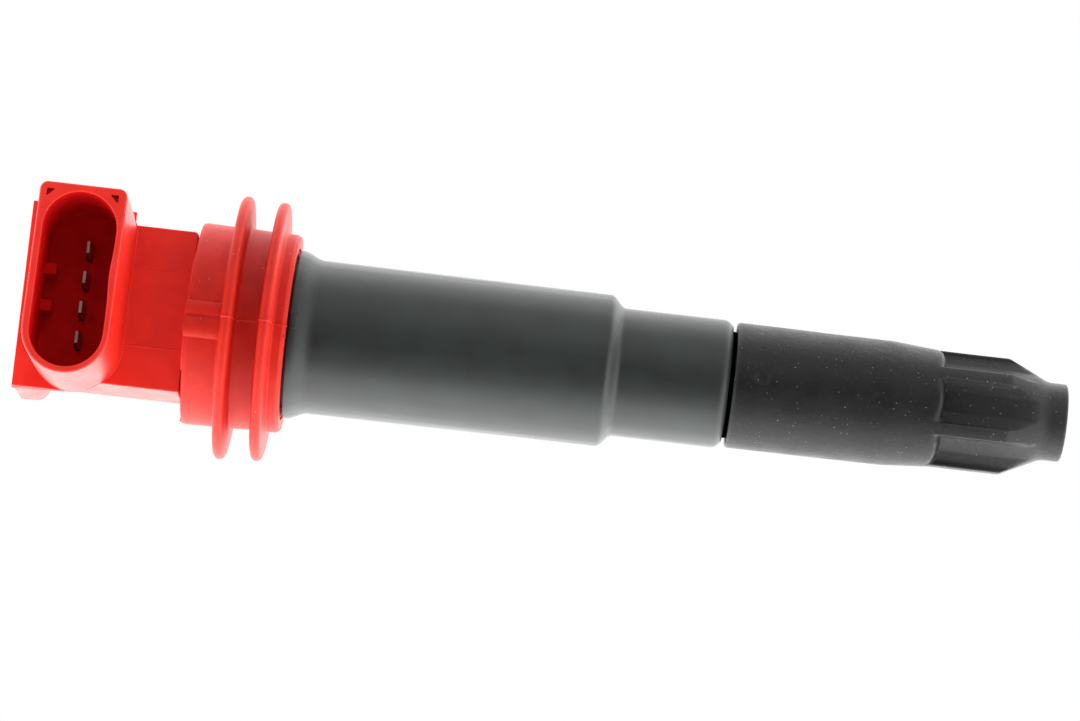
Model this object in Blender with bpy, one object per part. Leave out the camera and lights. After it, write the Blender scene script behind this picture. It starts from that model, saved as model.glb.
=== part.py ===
"""Pencil ignition coil that plugs straight onto a spark plug, with a four-pin connector on its head.

+Z runs along the coil from the plug end to the head, and the origin is on the coil's axis, on the
head's flat top face. The connector opens towards -Y. Heights are measured up from a datum plane
just below the plug end.
"""

from math import cos, pi, radians, sin, sqrt

import bmesh
import bpy
from mathutils import Matrix

MM = 0.001

# Driving dimensions, in metres
HEAD_TOP = 174.1 * MM
GAP = 0.3 * MM
AXIS = 0.001 * MM  # a radius that is closed up to nothing when an outline is turned

BOOT_FOOT = 0.7 * MM
BOOT_TOP = 56.4 * MM
BOOT_RADIUS = 10.5 * MM
BOOT_NOSE_RADIUS = 6.5 * MM
BOOT_RIBS = 6
BOOT_RIB_RADIUS = 9.75 * MM
BOOT_RIB_WIDTH = 1.9 * MM
BOOT_BORE_RADIUS = 4.9 * MM
FLUTE_FLOOR = 7.0 * MM
FLUTE_FLOOR_HALF_WIDTH = 1.65 * MM
FLUTE_TOP = 21.2 * MM
DIMPLE_HEIGHT = 51.8 * MM
DIMPLE_RADIUS = 1.05 * MM
DIMPLE_DEPTH = 0.8 * MM

SLEEVE_FOOT = 57.1 * MM
SLEEVE_STEP = 75.3 * MM
SLEEVE_FLARE_FOOT = 126.2 * MM
SLEEVE_TOP = 130.0 * MM
SPIGOT_TOP = 138.0 * MM
SLEEVE_LIP = 1.5 * MM
SLEEVE_FOOT_RADIUS = 10.7 * MM
SLEEVE_RADIUS = 12.75 * MM
SLEEVE_FLARE_RADIUS = 14.1 * MM
SLEEVE_BORE_RADIUS = 11.1 * MM

COLLAR_TOP = 146.5 * MM
COLLAR_RADIUS = 16.7 * MM
COLLAR_LIPS = ((133.6 * MM, 21.7 * MM, 3.2 * MM), (139.75 * MM, 22.0 * MM, 3.5 * MM))
LIP_TIP_WIDTH = 1.7 * MM
VENT_RIB_HEIGHT = 0.85 * MM

BARREL_RADIUS = 14.0 * MM
BARREL_BORE_RADIUS = 12.3 * MM
BARREL_BORE_TOP = 145.2 * MM
HEAD_FOOT = 146.8 * MM
HEAD_HALF_WIDTH = 13.5 * MM
HEAD_FRONT = -10.0 * MM
HEAD_BACK = 2.1 * MM
FLANGE_BACK = -7.2 * MM
POST_BACK = 4.5 * MM
POST_RADIUS = 2.5 * MM

CONNECTOR_HEIGHT = 164.7 * MM
CONNECTOR_FRONT = -26.8 * MM
CONNECTOR_LEFT = -15.4 * MM
CONNECTOR_RIGHT = 15.8 * MM
CONNECTOR_HALF_HEIGHT = 7.1 * MM
CONNECTOR_CORNER = 1.3 * MM
SOCKET_HEIGHT = 164.6 * MM
SOCKET_LEFT = -14.375 * MM
SOCKET_RIGHT = 14.775 * MM
SOCKET_HALF_HEIGHT = 5.95 * MM
SOCKET_FLOOR = -10.3 * MM
KEY_X = 3.2 * MM
KEY_HALF_WIDTH = 1.0 * MM
KEY_DEPTH = 2.15 * MM
POCKET_LEG = 1.45 * MM
POCKET_INSET = 1.2 * MM
POCKET_DEPTH = 3.0 * MM
TERMINAL_PITCH = 5.0 * MM
TERMINAL_COUNT = 4
TERMINAL_TIP = -17.3 * MM
TERMINAL_HEIGHT = 163.8 * MM
TERMINAL_WIDTH = 2.8 * MM
TERMINAL_THICKNESS = 0.8 * MM

CAVITY_FRONT = -8.3 * MM
CAVITY_HALF_WIDTH = 12.0 * MM
CAVITY_FOOT = 148.6 * MM
CAVITY_TOP = 172.2 * MM
LEAD_OPENING_HALF_WIDTH = 9.0 * MM
BOARD_FRONT = -6.8 * MM
BOARD_THICKNESS = 0.8 * MM
POTTING_FRONT = -1.2 * MM
LEAD_RADIUS = 0.4 * MM
LEAD_X = 6.5 * MM
DIODE_FOOT = 136.0 * MM

CORE_RADIUS = 3.9 * MM
CORE_FOOT = 85.4 * MM
CORE_TOP = 125.4 * MM
MAGNET_THICKNESS = 3.0 * MM
CUSHION_THICKNESS = 1.5 * MM
WINDING_FOOT = 78.5 * MM
WINDING_TOP = 131.5 * MM

TOWER_FOOT = 36.0 * MM
TOWER_RADIUS = 6.8 * MM
TOWER_FLANGE_RADIUS = 9.0 * MM
TOWER_BORE_RADIUS = 3.1 * MM
RESISTOR_FOOT = 55.7 * MM
SPRING_FOOT = 26.0 * MM
SPRING_RADIUS = 2.3 * MM
SPRING_WIRE_RADIUS = 0.3 * MM
SPRING_TURNS = 11


def height(above_datum):
    """World Z of a height measured up from the datum plane below the plug end."""
    return above_datum - HEAD_TOP


def material(name, color, roughness, metallic=0.0):
    found = bpy.data.materials.get(name)
    if found:
        return found
    made = bpy.data.materials.new(name)
    made.use_nodes = True
    shader = made.node_tree.nodes["Principled BSDF"]
    shader.inputs["Base Color"].default_value = (*color, 1.0)
    shader.inputs["Roughness"].default_value = roughness
    shader.inputs["Metallic"].default_value = metallic
    return made


def red_plastic():
    return material("red_plastic", (0.58, 0.02, 0.015), 0.38)


def red_silicone():
    return material("red_silicone", (0.74, 0.05, 0.025), 0.5)


def grey_plastic():
    return material("grey_plastic", (0.045, 0.05, 0.048), 0.45)


def boot_rubber():
    return material("boot_rubber", (0.02, 0.02, 0.02), 0.75)


def tinned_copper():
    return material("tinned_copper", (0.72, 0.72, 0.7), 0.3, 1.0)


def enamelled_copper():
    return material("enamelled_copper", (0.5, 0.17, 0.05), 0.35, 0.9)


def pale_plastic():
    return material("pale_plastic", (0.62, 0.58, 0.48), 0.5)


def silicon_steel():
    return material("silicon_steel", (0.35, 0.36, 0.38), 0.4, 1.0)


def ferrite():
    return material("ferrite", (0.06, 0.06, 0.065), 0.6, 0.2)


def potting_resin():
    return material("potting_resin", (0.025, 0.022, 0.02), 0.25)


def board_ceramic():
    return material("board_ceramic", (0.8, 0.8, 0.76), 0.55)


def chip_case():
    return material("chip_case", (0.03, 0.03, 0.032), 0.6)


def spring_steel():
    return material("spring_steel", (0.6, 0.6, 0.6), 0.28, 1.0)


def aluminium():
    return material("aluminium", (0.7, 0.71, 0.72), 0.35, 1.0)


def link(name, mesh, finish, cutter=False):
    """Puts a mesh into the scene; a cutter is kept out of the model."""
    piece = bpy.data.objects.new(name, mesh)
    bpy.context.collection.objects.link(piece)
    if finish:
        mesh.materials.append(finish)
    if cutter:
        piece.hide_render = True
        piece.display_type = "WIRE"
    return piece


def mesh_from(bm, name, smooth=False):
    mesh = bpy.data.meshes.new(name)
    bmesh.ops.recalc_face_normals(bm, faces=bm.faces)
    bm.to_mesh(mesh)
    bm.free()
    if smooth:
        mesh.shade_smooth()
        mesh.set_sharp_from_angle(angle=radians(35))
    return mesh


def turned(name, profile, finish, segments=40, origin_height=0.0, cutter=False):
    """A round piece: a closed (radius, height) outline turned about the coil's axis."""
    base = height(origin_height)
    bm = bmesh.new()
    points = [bm.verts.new((r, 0.0, height(h) - base)) for r, h in profile]
    edges = [bm.edges.new((a, b)) for a, b in zip(points, points[1:] + points[:1])]
    bmesh.ops.spin(
        bm, geom=points + edges, cent=(0, 0, 0), axis=(0, 0, 1), angle=2 * pi, steps=segments,
    )
    bmesh.ops.remove_doubles(bm, verts=bm.verts, dist=0.01 * MM)
    piece = link(name, mesh_from(bm, name, smooth=True), finish, cutter)
    piece.location.z = base
    return piece


def disc(name, radius, low, high, finish, segments=24):
    """A plain round slug on the coil's axis, its rims lightly chamfered."""
    chamfer = 0.3 * MM
    bm = bmesh.new()
    middle = Matrix.Translation((0, 0, (height(low) + height(high)) / 2))
    bmesh.ops.create_cone(
        bm, cap_ends=True, segments=segments, radius1=radius, radius2=radius, depth=high - low, matrix=middle,
    )
    rims = [e for e in bm.edges if abs(e.verts[0].co.z - e.verts[1].co.z) < 0.01 * MM]
    bmesh.ops.bevel(bm, geom=rims, offset=chamfer, segments=1, affect="EDGES")
    return link(name, mesh_from(bm, name, smooth=True), finish)


def tube(name, inner, outer, low, high, finish, segments=32, cutter=False):
    outline = ((inner, low), (outer, low), (outer, high), (inner, high))
    return turned(name, outline, finish, segments, cutter=cutter)


def block(name, low, high, finish, bevel=0.0, cutter=False):
    """A box between two corners; Z of each corner is a height above the datum."""
    size = [b - a for a, b in zip(low, high)]
    centre = [(a + b) / 2 for a, b in zip(low, high)]
    bm = bmesh.new()
    bmesh.ops.create_cube(bm, size=1.0)
    bmesh.ops.scale(bm, vec=size, verts=bm.verts)
    piece = link(name, mesh_from(bm, name), finish, cutter)
    piece.location = (centre[0], centre[1], height(centre[2]))
    if bevel:
        edges = piece.modifiers.new("edges", "BEVEL")
        edges.width = bevel
        edges.segments = 1
    return piece


def prism(name, outline, start, end, finish, cutter=False):
    """An (x, height) outline pushed along Y from start to end."""
    bm = bmesh.new()
    face = bm.faces.new([bm.verts.new((x, start, height(h))) for x, h in outline])
    pushed = bmesh.ops.extrude_face_region(bm, geom=[face])["geom"]
    moved = [v for v in pushed if isinstance(v, bmesh.types.BMVert)]
    bmesh.ops.translate(bm, vec=(0, end - start, 0), verts=moved)
    return link(name, mesh_from(bm, name, smooth=True), finish, cutter)


def arc(centre, radius, start_deg, end_deg, steps):
    """Points of an arc in a plane, as pairs."""
    angles = [radians(start_deg + (end_deg - start_deg) * i / steps) for i in range(steps + 1)]
    return [(centre[0] + radius * cos(a), centre[1] + radius * sin(a)) for a in angles]


def combine(target, tool, operation):
    step = target.modifiers.new(tool.name, "BOOLEAN")
    step.operation = operation
    step.solver = "EXACT"
    step.object = tool


def wire(name, points, radius, finish, sides=2):
    """A round lead through a few points."""
    curve = bpy.data.curves.new(name, "CURVE")
    curve.dimensions = "3D"
    curve.bevel_depth = radius
    curve.bevel_resolution = sides
    curve.use_fill_caps = True
    curve.render_resolution_u = 0
    line = curve.splines.new("POLY")
    line.points.add(len(points) - 1)
    for point, (x, y, h) in zip(line.points, points):
        point.co = (x, y, height(h), 1.0)
    curve.materials.append(finish)
    piece = bpy.data.objects.new(name, curve)
    bpy.context.collection.objects.link(piece)
    return piece


def shroud_outline():
    """The connector's outer wall seen from the front: round at -X, squared at +X."""
    low = CONNECTOR_HEIGHT - CONNECTOR_HALF_HEIGHT
    high = CONNECTOR_HEIGHT + CONNECTOR_HALF_HEIGHT
    edge = CONNECTOR_RIGHT - CONNECTOR_CORNER
    return (
        arc((CONNECTOR_LEFT + CONNECTOR_HALF_HEIGHT, CONNECTOR_HEIGHT), CONNECTOR_HALF_HEIGHT, 90, 270, 12)
        + arc((edge, low + CONNECTOR_CORNER), CONNECTOR_CORNER, -90, 0, 3)
        + arc((edge, high - CONNECTOR_CORNER), CONNECTOR_CORNER, 0, 90, 3)
    )


def socket_outline(steps=10):
    radius = SOCKET_HALF_HEIGHT
    return arc((SOCKET_RIGHT - radius, SOCKET_HEIGHT), radius, -90, 90, steps) + arc(
        (SOCKET_LEFT + radius, SOCKET_HEIGHT), radius, 90, 270, steps
    )


def flange_outline():
    """A little inside the connector's outline below, and a plain rectangle up to the head's top face."""
    inset = 0.1 * MM
    radius = CONNECTOR_HALF_HEIGHT - inset
    centre = (CONNECTOR_LEFT + CONNECTOR_HALF_HEIGHT, CONNECTOR_HEIGHT)
    right = CONNECTOR_RIGHT - inset
    foot = CONNECTOR_HEIGHT - radius
    left = CONNECTOR_LEFT + inset
    return [(right, foot), (right, HEAD_TOP), (left, HEAD_TOP)] + arc(centre, radius, 180, 270, 8)


def terminal_x(index):
    return (index - (TERMINAL_COUNT - 1) / 2) * TERMINAL_PITCH


def head_additions():
    """Everything that is moulded onto the head's barrel."""
    red = red_plastic()
    yield block(
        "neck", (-HEAD_HALF_WIDTH, HEAD_FRONT, HEAD_FOOT), (HEAD_HALF_WIDTH, HEAD_BACK, HEAD_TOP), red,
        bevel=0.4 * MM, cutter=True,
    )
    yield prism("flange", flange_outline(), HEAD_FRONT, FLANGE_BACK, red, cutter=True)
    yield prism("shroud", shroud_outline(), CONNECTOR_FRONT, HEAD_FRONT + MM, red, cutter=True)
    for side, x in (("left", CONNECTOR_LEFT + POST_RADIUS), ("right", -CONNECTOR_LEFT - POST_RADIUS)):
        rounded_foot = arc((x, HEAD_TOP - POST_RADIUS), POST_RADIUS, 180, 360, 10)
        outline = [(x - POST_RADIUS, HEAD_TOP)] + rounded_foot + [(x + POST_RADIUS, HEAD_TOP)]
        yield prism("post_" + side, outline[::-1], FLANGE_BACK - MM, POST_BACK, red, cutter=True)


def head_hollows():
    """Everything that is cut out of the head."""
    below = SLEEVE_TOP - 5 * MM
    yield tube("barrel_bore", AXIS, BARREL_BORE_RADIUS, below, BARREL_BORE_TOP, None, 36, cutter=True)
    yield prism("socket", socket_outline(), CONNECTOR_FRONT - MM, SOCKET_FLOOR, None, cutter=True)
    yield block(
        "electronics_cavity", (-CAVITY_HALF_WIDTH, CAVITY_FRONT, CAVITY_FOOT),
        (CAVITY_HALF_WIDTH, POST_BACK + MM, CAVITY_TOP), None, cutter=True,
    )
    yield block(
        "lead_opening", (-LEAD_OPENING_HALF_WIDTH, -7.0 * MM, BARREL_BORE_TOP - MM),
        (LEAD_OPENING_HALF_WIDTH, 0.5 * MM, CAVITY_FOOT + MM), None, cutter=True,
    )
    for index in range(TERMINAL_COUNT):
        x = terminal_x(index)
        half_width = TERMINAL_WIDTH / 2 + GAP
        half_thickness = TERMINAL_THICKNESS / 2 + GAP
        yield block(
            f"terminal_slot_{index + 1}",
            (x - half_width, SOCKET_FLOOR - MM, TERMINAL_HEIGHT - half_thickness),
            (x + half_width, CAVITY_FRONT + MM, TERMINAL_HEIGHT + half_thickness), None, cutter=True,
        )
    x = CONNECTOR_RIGHT - POCKET_INSET
    for name, side in (("low", -1), ("high", 1)):
        level = CONNECTOR_HEIGHT + side * (CONNECTOR_HALF_HEIGHT - POCKET_INSET)
        outline = [(x, level), (x - POCKET_LEG, level), (x, level - side * POCKET_LEG)]
        floor = CONNECTOR_FRONT + POCKET_DEPTH
        yield prism("corner_pocket_" + name, outline, CONNECTOR_FRONT - MM, floor, None, cutter=True)


def head_housing():
    """The red head: barrel, box, flange and connector shroud, open at the back for the electronics."""
    low = SLEEVE_TOP + 0.4 * MM
    high = HEAD_FOOT + GAP
    barrel = ((AXIS, low), (BARREL_RADIUS, low), (BARREL_RADIUS, high), (AXIS, high))
    head = turned("head_housing", barrel, red_plastic(), 48)
    for tool in head_additions():
        combine(head, tool, "UNION")
    for tool in head_hollows():
        combine(head, tool, "DIFFERENCE")
    lip = SOCKET_HEIGHT + SOCKET_HALF_HEIGHT
    for name, x in (("left", -KEY_X), ("right", KEY_X)):
        key = block(
            "socket_key_" + name, (x - KEY_HALF_WIDTH, TERMINAL_TIP, lip - KEY_DEPTH),
            (x + KEY_HALF_WIDTH, SOCKET_FLOOR + MM, lip + 0.5 * MM), red_plastic(), cutter=True,
        )
        combine(head, key, "UNION")


def terminal(index):
    """An L-shaped blade: a tapered tip in the socket, and a leg down to the board behind the wall."""
    half_width = TERMINAL_WIDTH / 2
    half = TERMINAL_THICKNESS / 2
    taper = 1.2 * MM
    tip_width_share = 0.68
    tip_thickness_share = 0.56
    leg_back = BOARD_FRONT - GAP
    leg_foot = TERMINAL_HEIGHT - 5 * MM
    outline = [
        (TERMINAL_TIP, -half), (TERMINAL_TIP + taper, -half), (leg_back - 2 * half, -half),
        (leg_back - 2 * half, leg_foot - TERMINAL_HEIGHT), (leg_back, leg_foot - TERMINAL_HEIGHT),
        (leg_back, half), (TERMINAL_TIP + taper, half), (TERMINAL_TIP, half),
    ]
    bm = bmesh.new()
    face = bm.faces.new([bm.verts.new((-half_width, y, z)) for y, z in outline])
    pushed = bmesh.ops.extrude_face_region(bm, geom=[face])["geom"]
    moved = [v for v in pushed if isinstance(v, bmesh.types.BMVert)]
    bmesh.ops.translate(bm, vec=(TERMINAL_WIDTH, 0, 0), verts=moved)
    for corner in bm.verts:
        if corner.co.y < TERMINAL_TIP + taper / 2:
            corner.co.x *= tip_width_share
            corner.co.z *= tip_thickness_share
    name = f"terminal_{index + 1}"
    piece = link(name, mesh_from(bm, name), tinned_copper())
    piece.location = (terminal_x(index), 0, height(TERMINAL_HEIGHT))


def driver_electronics():
    """The board and what it carries, between the socket's wall and the resin that closes the head."""
    board_back = BOARD_FRONT + BOARD_THICKNESS
    part_front = board_back + GAP
    block(
        "driver_board", (-10.5 * MM, BOARD_FRONT, 150.5 * MM), (10.5 * MM, board_back, 170.5 * MM),
        board_ceramic(),
    )
    block(
        "power_transistor", (-9 * MM, part_front, 160 * MM), (1 * MM, part_front + 2.2 * MM, 169 * MM),
        chip_case(), bevel=0.3 * MM,
    )
    block(
        "heat_spreader", (-10 * MM, part_front + 2.5 * MM, 158.5 * MM),
        (2 * MM, part_front + 3.6 * MM, 170.5 * MM), aluminium(), bevel=0.2 * MM,
    )
    block(
        "control_chip", (3 * MM, part_front, 162 * MM), (8.5 * MM, part_front + 1.5 * MM, 168 * MM),
        chip_case(), bevel=0.2 * MM,
    )
    block(
        "noise_capacitor", (3.5 * MM, part_front, 155 * MM), (8 * MM, part_front + 2 * MM, 159 * MM),
        pale_plastic(), bevel=0.3 * MM,
    )
    block(
        "head_potting", (-CAVITY_HALF_WIDTH + GAP, POTTING_FRONT, CAVITY_FOOT + GAP),
        (CAVITY_HALF_WIDTH - GAP, HEAD_BACK - GAP, CAVITY_TOP - GAP), potting_resin(),
    )


def leads():
    """Enamelled wires from the windings up to the board, and the diode in the secondary's return."""
    board_side = BOARD_FRONT + BOARD_THICKNESS + GAP + LEAD_RADIUS + 0.4 * MM
    for name, x in (("primary_lead_1", -LEAD_X), ("primary_lead_2", LEAD_X)):
        outside = x * 1.05
        route = [
            (outside, -5.6 * MM, WINDING_TOP + 0.9 * MM), (outside, -5.2 * MM, 143 * MM),
            (x, -4.6 * MM, 147 * MM), (x, board_side, 152.5 * MM),
        ]
        wire(name, route, LEAD_RADIUS, enamelled_copper())
    diode_length = 5 * MM
    disc("high_voltage_diode", 1.4 * MM, DIODE_FOOT, DIODE_FOOT + diode_length, chip_case(), 16)
    start = DIODE_FOOT + diode_length + LEAD_RADIUS
    route = [(0, 0, start), (0, -1.5 * MM, 146 * MM), (0, -4.6 * MM, 153 * MM)]
    wire("secondary_lead", route, LEAD_RADIUS, enamelled_copper())


def flare(start, start_radius, end, end_radius, steps=3):
    """A soft S-shaped change of radius, as (radius, height) pairs."""
    points = []
    for i in range(steps + 1):
        t = i / steps
        ease = t * t * (3 - 2 * t)
        points.append((start_radius + (end_radius - start_radius) * ease, start + (end - start) * t))
    return points


def outer_sleeve():
    """The stepped casing, flared under the collar, with a spigot that plugs into the head's barrel."""
    foot_round = 1.0 * MM
    wall = 1.4 * MM
    step_length = 2.4 * MM
    foot_bore = TOWER_RADIUS + 0.4 * MM
    outside = (
        [(foot_bore, SLEEVE_FOOT), (SLEEVE_FOOT_RADIUS - foot_round, SLEEVE_FOOT)]
        + [(SLEEVE_FOOT_RADIUS - 0.3 * foot_round, SLEEVE_FOOT + 0.35 * foot_round)]
        + [(SLEEVE_FOOT_RADIUS, SLEEVE_FOOT + 1.2 * foot_round)]
        + flare(SLEEVE_STEP, SLEEVE_FOOT_RADIUS, SLEEVE_STEP + step_length, SLEEVE_RADIUS - 0.05 * MM)
        + flare(SLEEVE_FLARE_FOOT, SLEEVE_RADIUS + 0.1 * MM, SLEEVE_TOP - 0.7 * MM, SLEEVE_FLARE_RADIUS)
        + [(SLEEVE_FLARE_RADIUS, SLEEVE_TOP), (BARREL_BORE_RADIUS - GAP, SLEEVE_TOP)]
        + [(BARREL_BORE_RADIUS - GAP, SPIGOT_TOP)]
    )
    inside = [
        (SLEEVE_BORE_RADIUS, SPIGOT_TOP),
        (SLEEVE_BORE_RADIUS, SLEEVE_STEP + step_length),
        (SLEEVE_FOOT_RADIUS - wall, SLEEVE_STEP + 0.4 * MM),
        (SLEEVE_FOOT_RADIUS - wall, SLEEVE_FOOT + SLEEVE_LIP),
        (foot_bore, SLEEVE_FOOT + SLEEVE_LIP),
    ]
    turned("outer_sleeve", outside + inside, grey_plastic(), 48)


def lip_outline(centre, tip_radius, base_width, body_radius):
    """One sealing lip of the collar, from its lower root to its upper root."""
    tip = LIP_TIP_WIDTH / 2
    base = base_width / 2
    root = body_radius + 0.6 * MM
    shoulder = tip_radius - tip
    crown = tip_radius - 0.3 * tip
    half = [(tip_radius, 0), (crown, 0.7 * tip), (shoulder, tip), (root, 0.72 * base), (body_radius, base)]
    lower = [(r, centre - h) for r, h in reversed(half)]
    return lower + [(r, centre + h) for r, h in half[1:]]


def seal_collar():
    """The soft collar that closes the plug well: two lips and a vent rib, free to slide off downwards."""
    bore = BARREL_RADIUS + 0.4 * MM
    foot = SLEEVE_TOP + GAP
    lower, upper = COLLAR_LIPS
    outline = (
        [(bore, foot), (COLLAR_RADIUS - 0.5 * MM, foot), (COLLAR_RADIUS - 0.1 * MM, foot + 0.6 * MM)]
        + lip_outline(*lower, COLLAR_RADIUS - 0.05 * MM)
        + lip_outline(*upper, COLLAR_RADIUS)
        + [(COLLAR_RADIUS + 0.2 * MM, COLLAR_TOP - 0.7 * MM), (COLLAR_RADIUS - 0.4 * MM, COLLAR_TOP)]
        + [(bore, COLLAR_TOP)]
    )
    collar = turned("seal_collar", outline, red_silicone(), 48, origin_height=138 * MM)
    crown = -COLLAR_RADIUS - 0.3 * MM - VENT_RIB_HEIGHT
    root = -COLLAR_RADIUS + 0.8 * MM
    rib = block(
        "vent_rib", (-5.0 * MM, crown, 141.2 * MM), (0.9 * MM, root, COLLAR_TOP + 0.5 * MM),
        red_silicone(), bevel=0.3 * MM, cutter=True,
    )
    combine(collar, rib, "UNION")


def magnetic_circuit():
    """The core, its magnets and cushions, and the slotted steel tube round the windings."""
    steel = silicon_steel()
    layers = 5
    stack = 0.93 * CORE_RADIUS
    step = 2 * stack / layers
    right = []
    for i in range(layers):
        low = -stack + i * step
        width = sqrt(CORE_RADIUS**2 - max(abs(low), abs(low + step)) ** 2)
        right += [(width, low), (width, low + step)]
    outline = right + [(-x, y) for x, y in reversed(right)]
    bm = bmesh.new()
    face = bm.faces.new([bm.verts.new((x, y, height(CORE_FOOT))) for x, y in outline])
    pushed = bmesh.ops.extrude_face_region(bm, geom=[face])["geom"]
    moved = [v for v in pushed if isinstance(v, bmesh.types.BMVert)]
    bmesh.ops.translate(bm, vec=(0, 0, CORE_TOP - CORE_FOOT), verts=moved)
    link("laminated_core", mesh_from(bm, "laminated_core"), steel)

    low_magnet = CORE_FOOT - GAP - MAGNET_THICKNESS
    high_magnet = CORE_TOP + GAP
    disc("core_magnet_bottom", CORE_RADIUS, low_magnet, CORE_FOOT - GAP, ferrite())
    disc("core_magnet_top", CORE_RADIUS, high_magnet, high_magnet + MAGNET_THICKNESS, ferrite())
    low_cushion = low_magnet - GAP
    high_cushion = high_magnet + MAGNET_THICKNESS + GAP
    disc("core_cushion_bottom", CORE_RADIUS, low_cushion - CUSHION_THICKNESS, low_cushion, red_silicone())
    disc("core_cushion_top", CORE_RADIUS, high_cushion, high_cushion + CUSHION_THICKNESS, red_silicone())

    shield_radius = SLEEVE_BORE_RADIUS - 0.4 * MM
    low, high = WINDING_FOOT + 1.5 * MM, WINDING_TOP - 0.5 * MM
    shield = tube("flux_shield", shield_radius - 0.5 * MM, shield_radius, low, high, steel, 36)
    slot_low, slot_high = (-0.5 * MM, 9 * MM, low - MM), (0.5 * MM, 12 * MM, high + MM)
    combine(shield, block("shield_slot", slot_low, slot_high, None, cutter=True), "DIFFERENCE")


def windings():
    """The secondary on its closed-bottom bobbin, and the primary on a second bobbin round it."""
    tube_inner = 4.3 * MM
    tube_outer = 5.1 * MM
    flange = 7.2 * MM
    cheek = 2.0 * MM
    floor = 1.3 * MM
    low = WINDING_FOOT
    high = WINDING_TOP
    turned(
        "secondary_bobbin",
        [(AXIS, low), (flange, low), (flange, low + cheek), (tube_outer, low + cheek),
         (tube_outer, high - cheek), (flange, high - cheek), (flange, high), (tube_inner, high),
         (tube_inner, low + floor), (AXIS, low + floor)],
        pale_plastic(), 28,
    )
    tube(
        "secondary_winding", tube_outer + GAP, flange - GAP, low + cheek + GAP, high - cheek - GAP,
        enamelled_copper(), 28,
    )
    inner = 7.5 * MM
    outer = 8.2 * MM
    rim = 9.9 * MM
    rim_width = 1.2 * MM
    turned(
        "primary_bobbin",
        [(inner, low), (rim, low), (rim, low + rim_width), (outer, low + rim_width),
         (outer, high - rim_width), (rim, high - rim_width), (rim, high), (inner, high)],
        pale_plastic(), 32,
    )
    tube(
        "primary_winding", outer + GAP, rim - GAP, low + rim_width + GAP, high - rim_width - GAP,
        enamelled_copper(), 32,
    )


def high_voltage_end():
    """The insulating tower that the boot grips, and the contacts inside it."""
    top = SLEEVE_STEP - 0.8 * MM
    shoulder = SLEEVE_FOOT + SLEEVE_LIP + GAP
    cup = 4.2 * MM
    cup_floor = 70.6 * MM
    turned(
        "high_voltage_tower",
        [(TOWER_BORE_RADIUS, TOWER_FOOT), (TOWER_RADIUS - 0.6 * MM, TOWER_FOOT),
         (TOWER_RADIUS, TOWER_FOOT + 0.8 * MM), (TOWER_RADIUS, shoulder), (TOWER_FLANGE_RADIUS, shoulder),
         (TOWER_FLANGE_RADIUS, top), (cup, top), (cup, cup_floor), (TOWER_BORE_RADIUS, cup_floor)],
        grey_plastic(), 32,
    )
    pin = 0.6 * MM
    seat = cup_floor + GAP
    cap = seat + 2.1 * MM
    turned(
        "high_voltage_terminal",
        [(AXIS, seat), (cup - GAP, seat), (cup - GAP, cap), (pin, cap), (pin, WINDING_FOOT - GAP),
         (AXIS, WINDING_FOOT - GAP)],
        tinned_copper(), 20,
    )
    disc("suppression_resistor", TOWER_BORE_RADIUS - 0.4 * MM, RESISTOR_FOOT, cup_floor, pale_plastic(), 20)


def contact_spring():
    """The coil spring that reaches down to the plug's terminal; its wire follows a helix."""
    per_turn = 14
    count = SPRING_TURNS * per_turn
    low = SPRING_FOOT + SPRING_WIRE_RADIUS
    high = RESISTOR_FOOT - GAP - SPRING_WIRE_RADIUS
    points = []
    for i in range(count + 1):
        angle = 2 * pi * i / per_turn
        rise = low + (high - low) * i / count
        points.append((SPRING_RADIUS * cos(angle), SPRING_RADIUS * sin(angle), rise))
    wire("contact_spring", points, SPRING_WIRE_RADIUS, spring_steel(), sides=1)


def flute_cutter(index):
    """The space between two ribs of the boot: a flat floor whose sides follow the ribs."""
    half_angle = pi / BOOT_RIBS
    rib = BOOT_RIB_WIDTH / 2

    def beside_rib(radius):
        across = radius * sin(half_angle) - rib * cos(half_angle)
        out = radius * cos(half_angle) + rib * sin(half_angle)
        return across, out

    floor = (FLUTE_FLOOR_HALF_WIDTH, FLUTE_FLOOR)
    half = [floor, beside_rib(8.5 * MM), beside_rib(12 * MM)]
    section = half + [(-x, y) for x, y in reversed(half)]
    bottom = 3 * MM
    top = FLUTE_TOP
    lip_slope = 0.39
    bm = bmesh.new()
    face = bm.faces.new([bm.verts.new((x, y, bottom)) for x, y in section])
    pushed = bmesh.ops.extrude_face_region(bm, geom=[face])["geom"]
    for corner in pushed:
        if isinstance(corner, bmesh.types.BMVert):
            corner.co.z = top + (corner.co.y - floor[1]) * lip_slope
    piece = link(f"flute_{index + 1}", mesh_from(bm, "flute"), None, cutter=True)
    piece.rotation_euler.z = pi + index * 2 * half_angle
    piece.location.z = height(0)
    return piece


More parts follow.
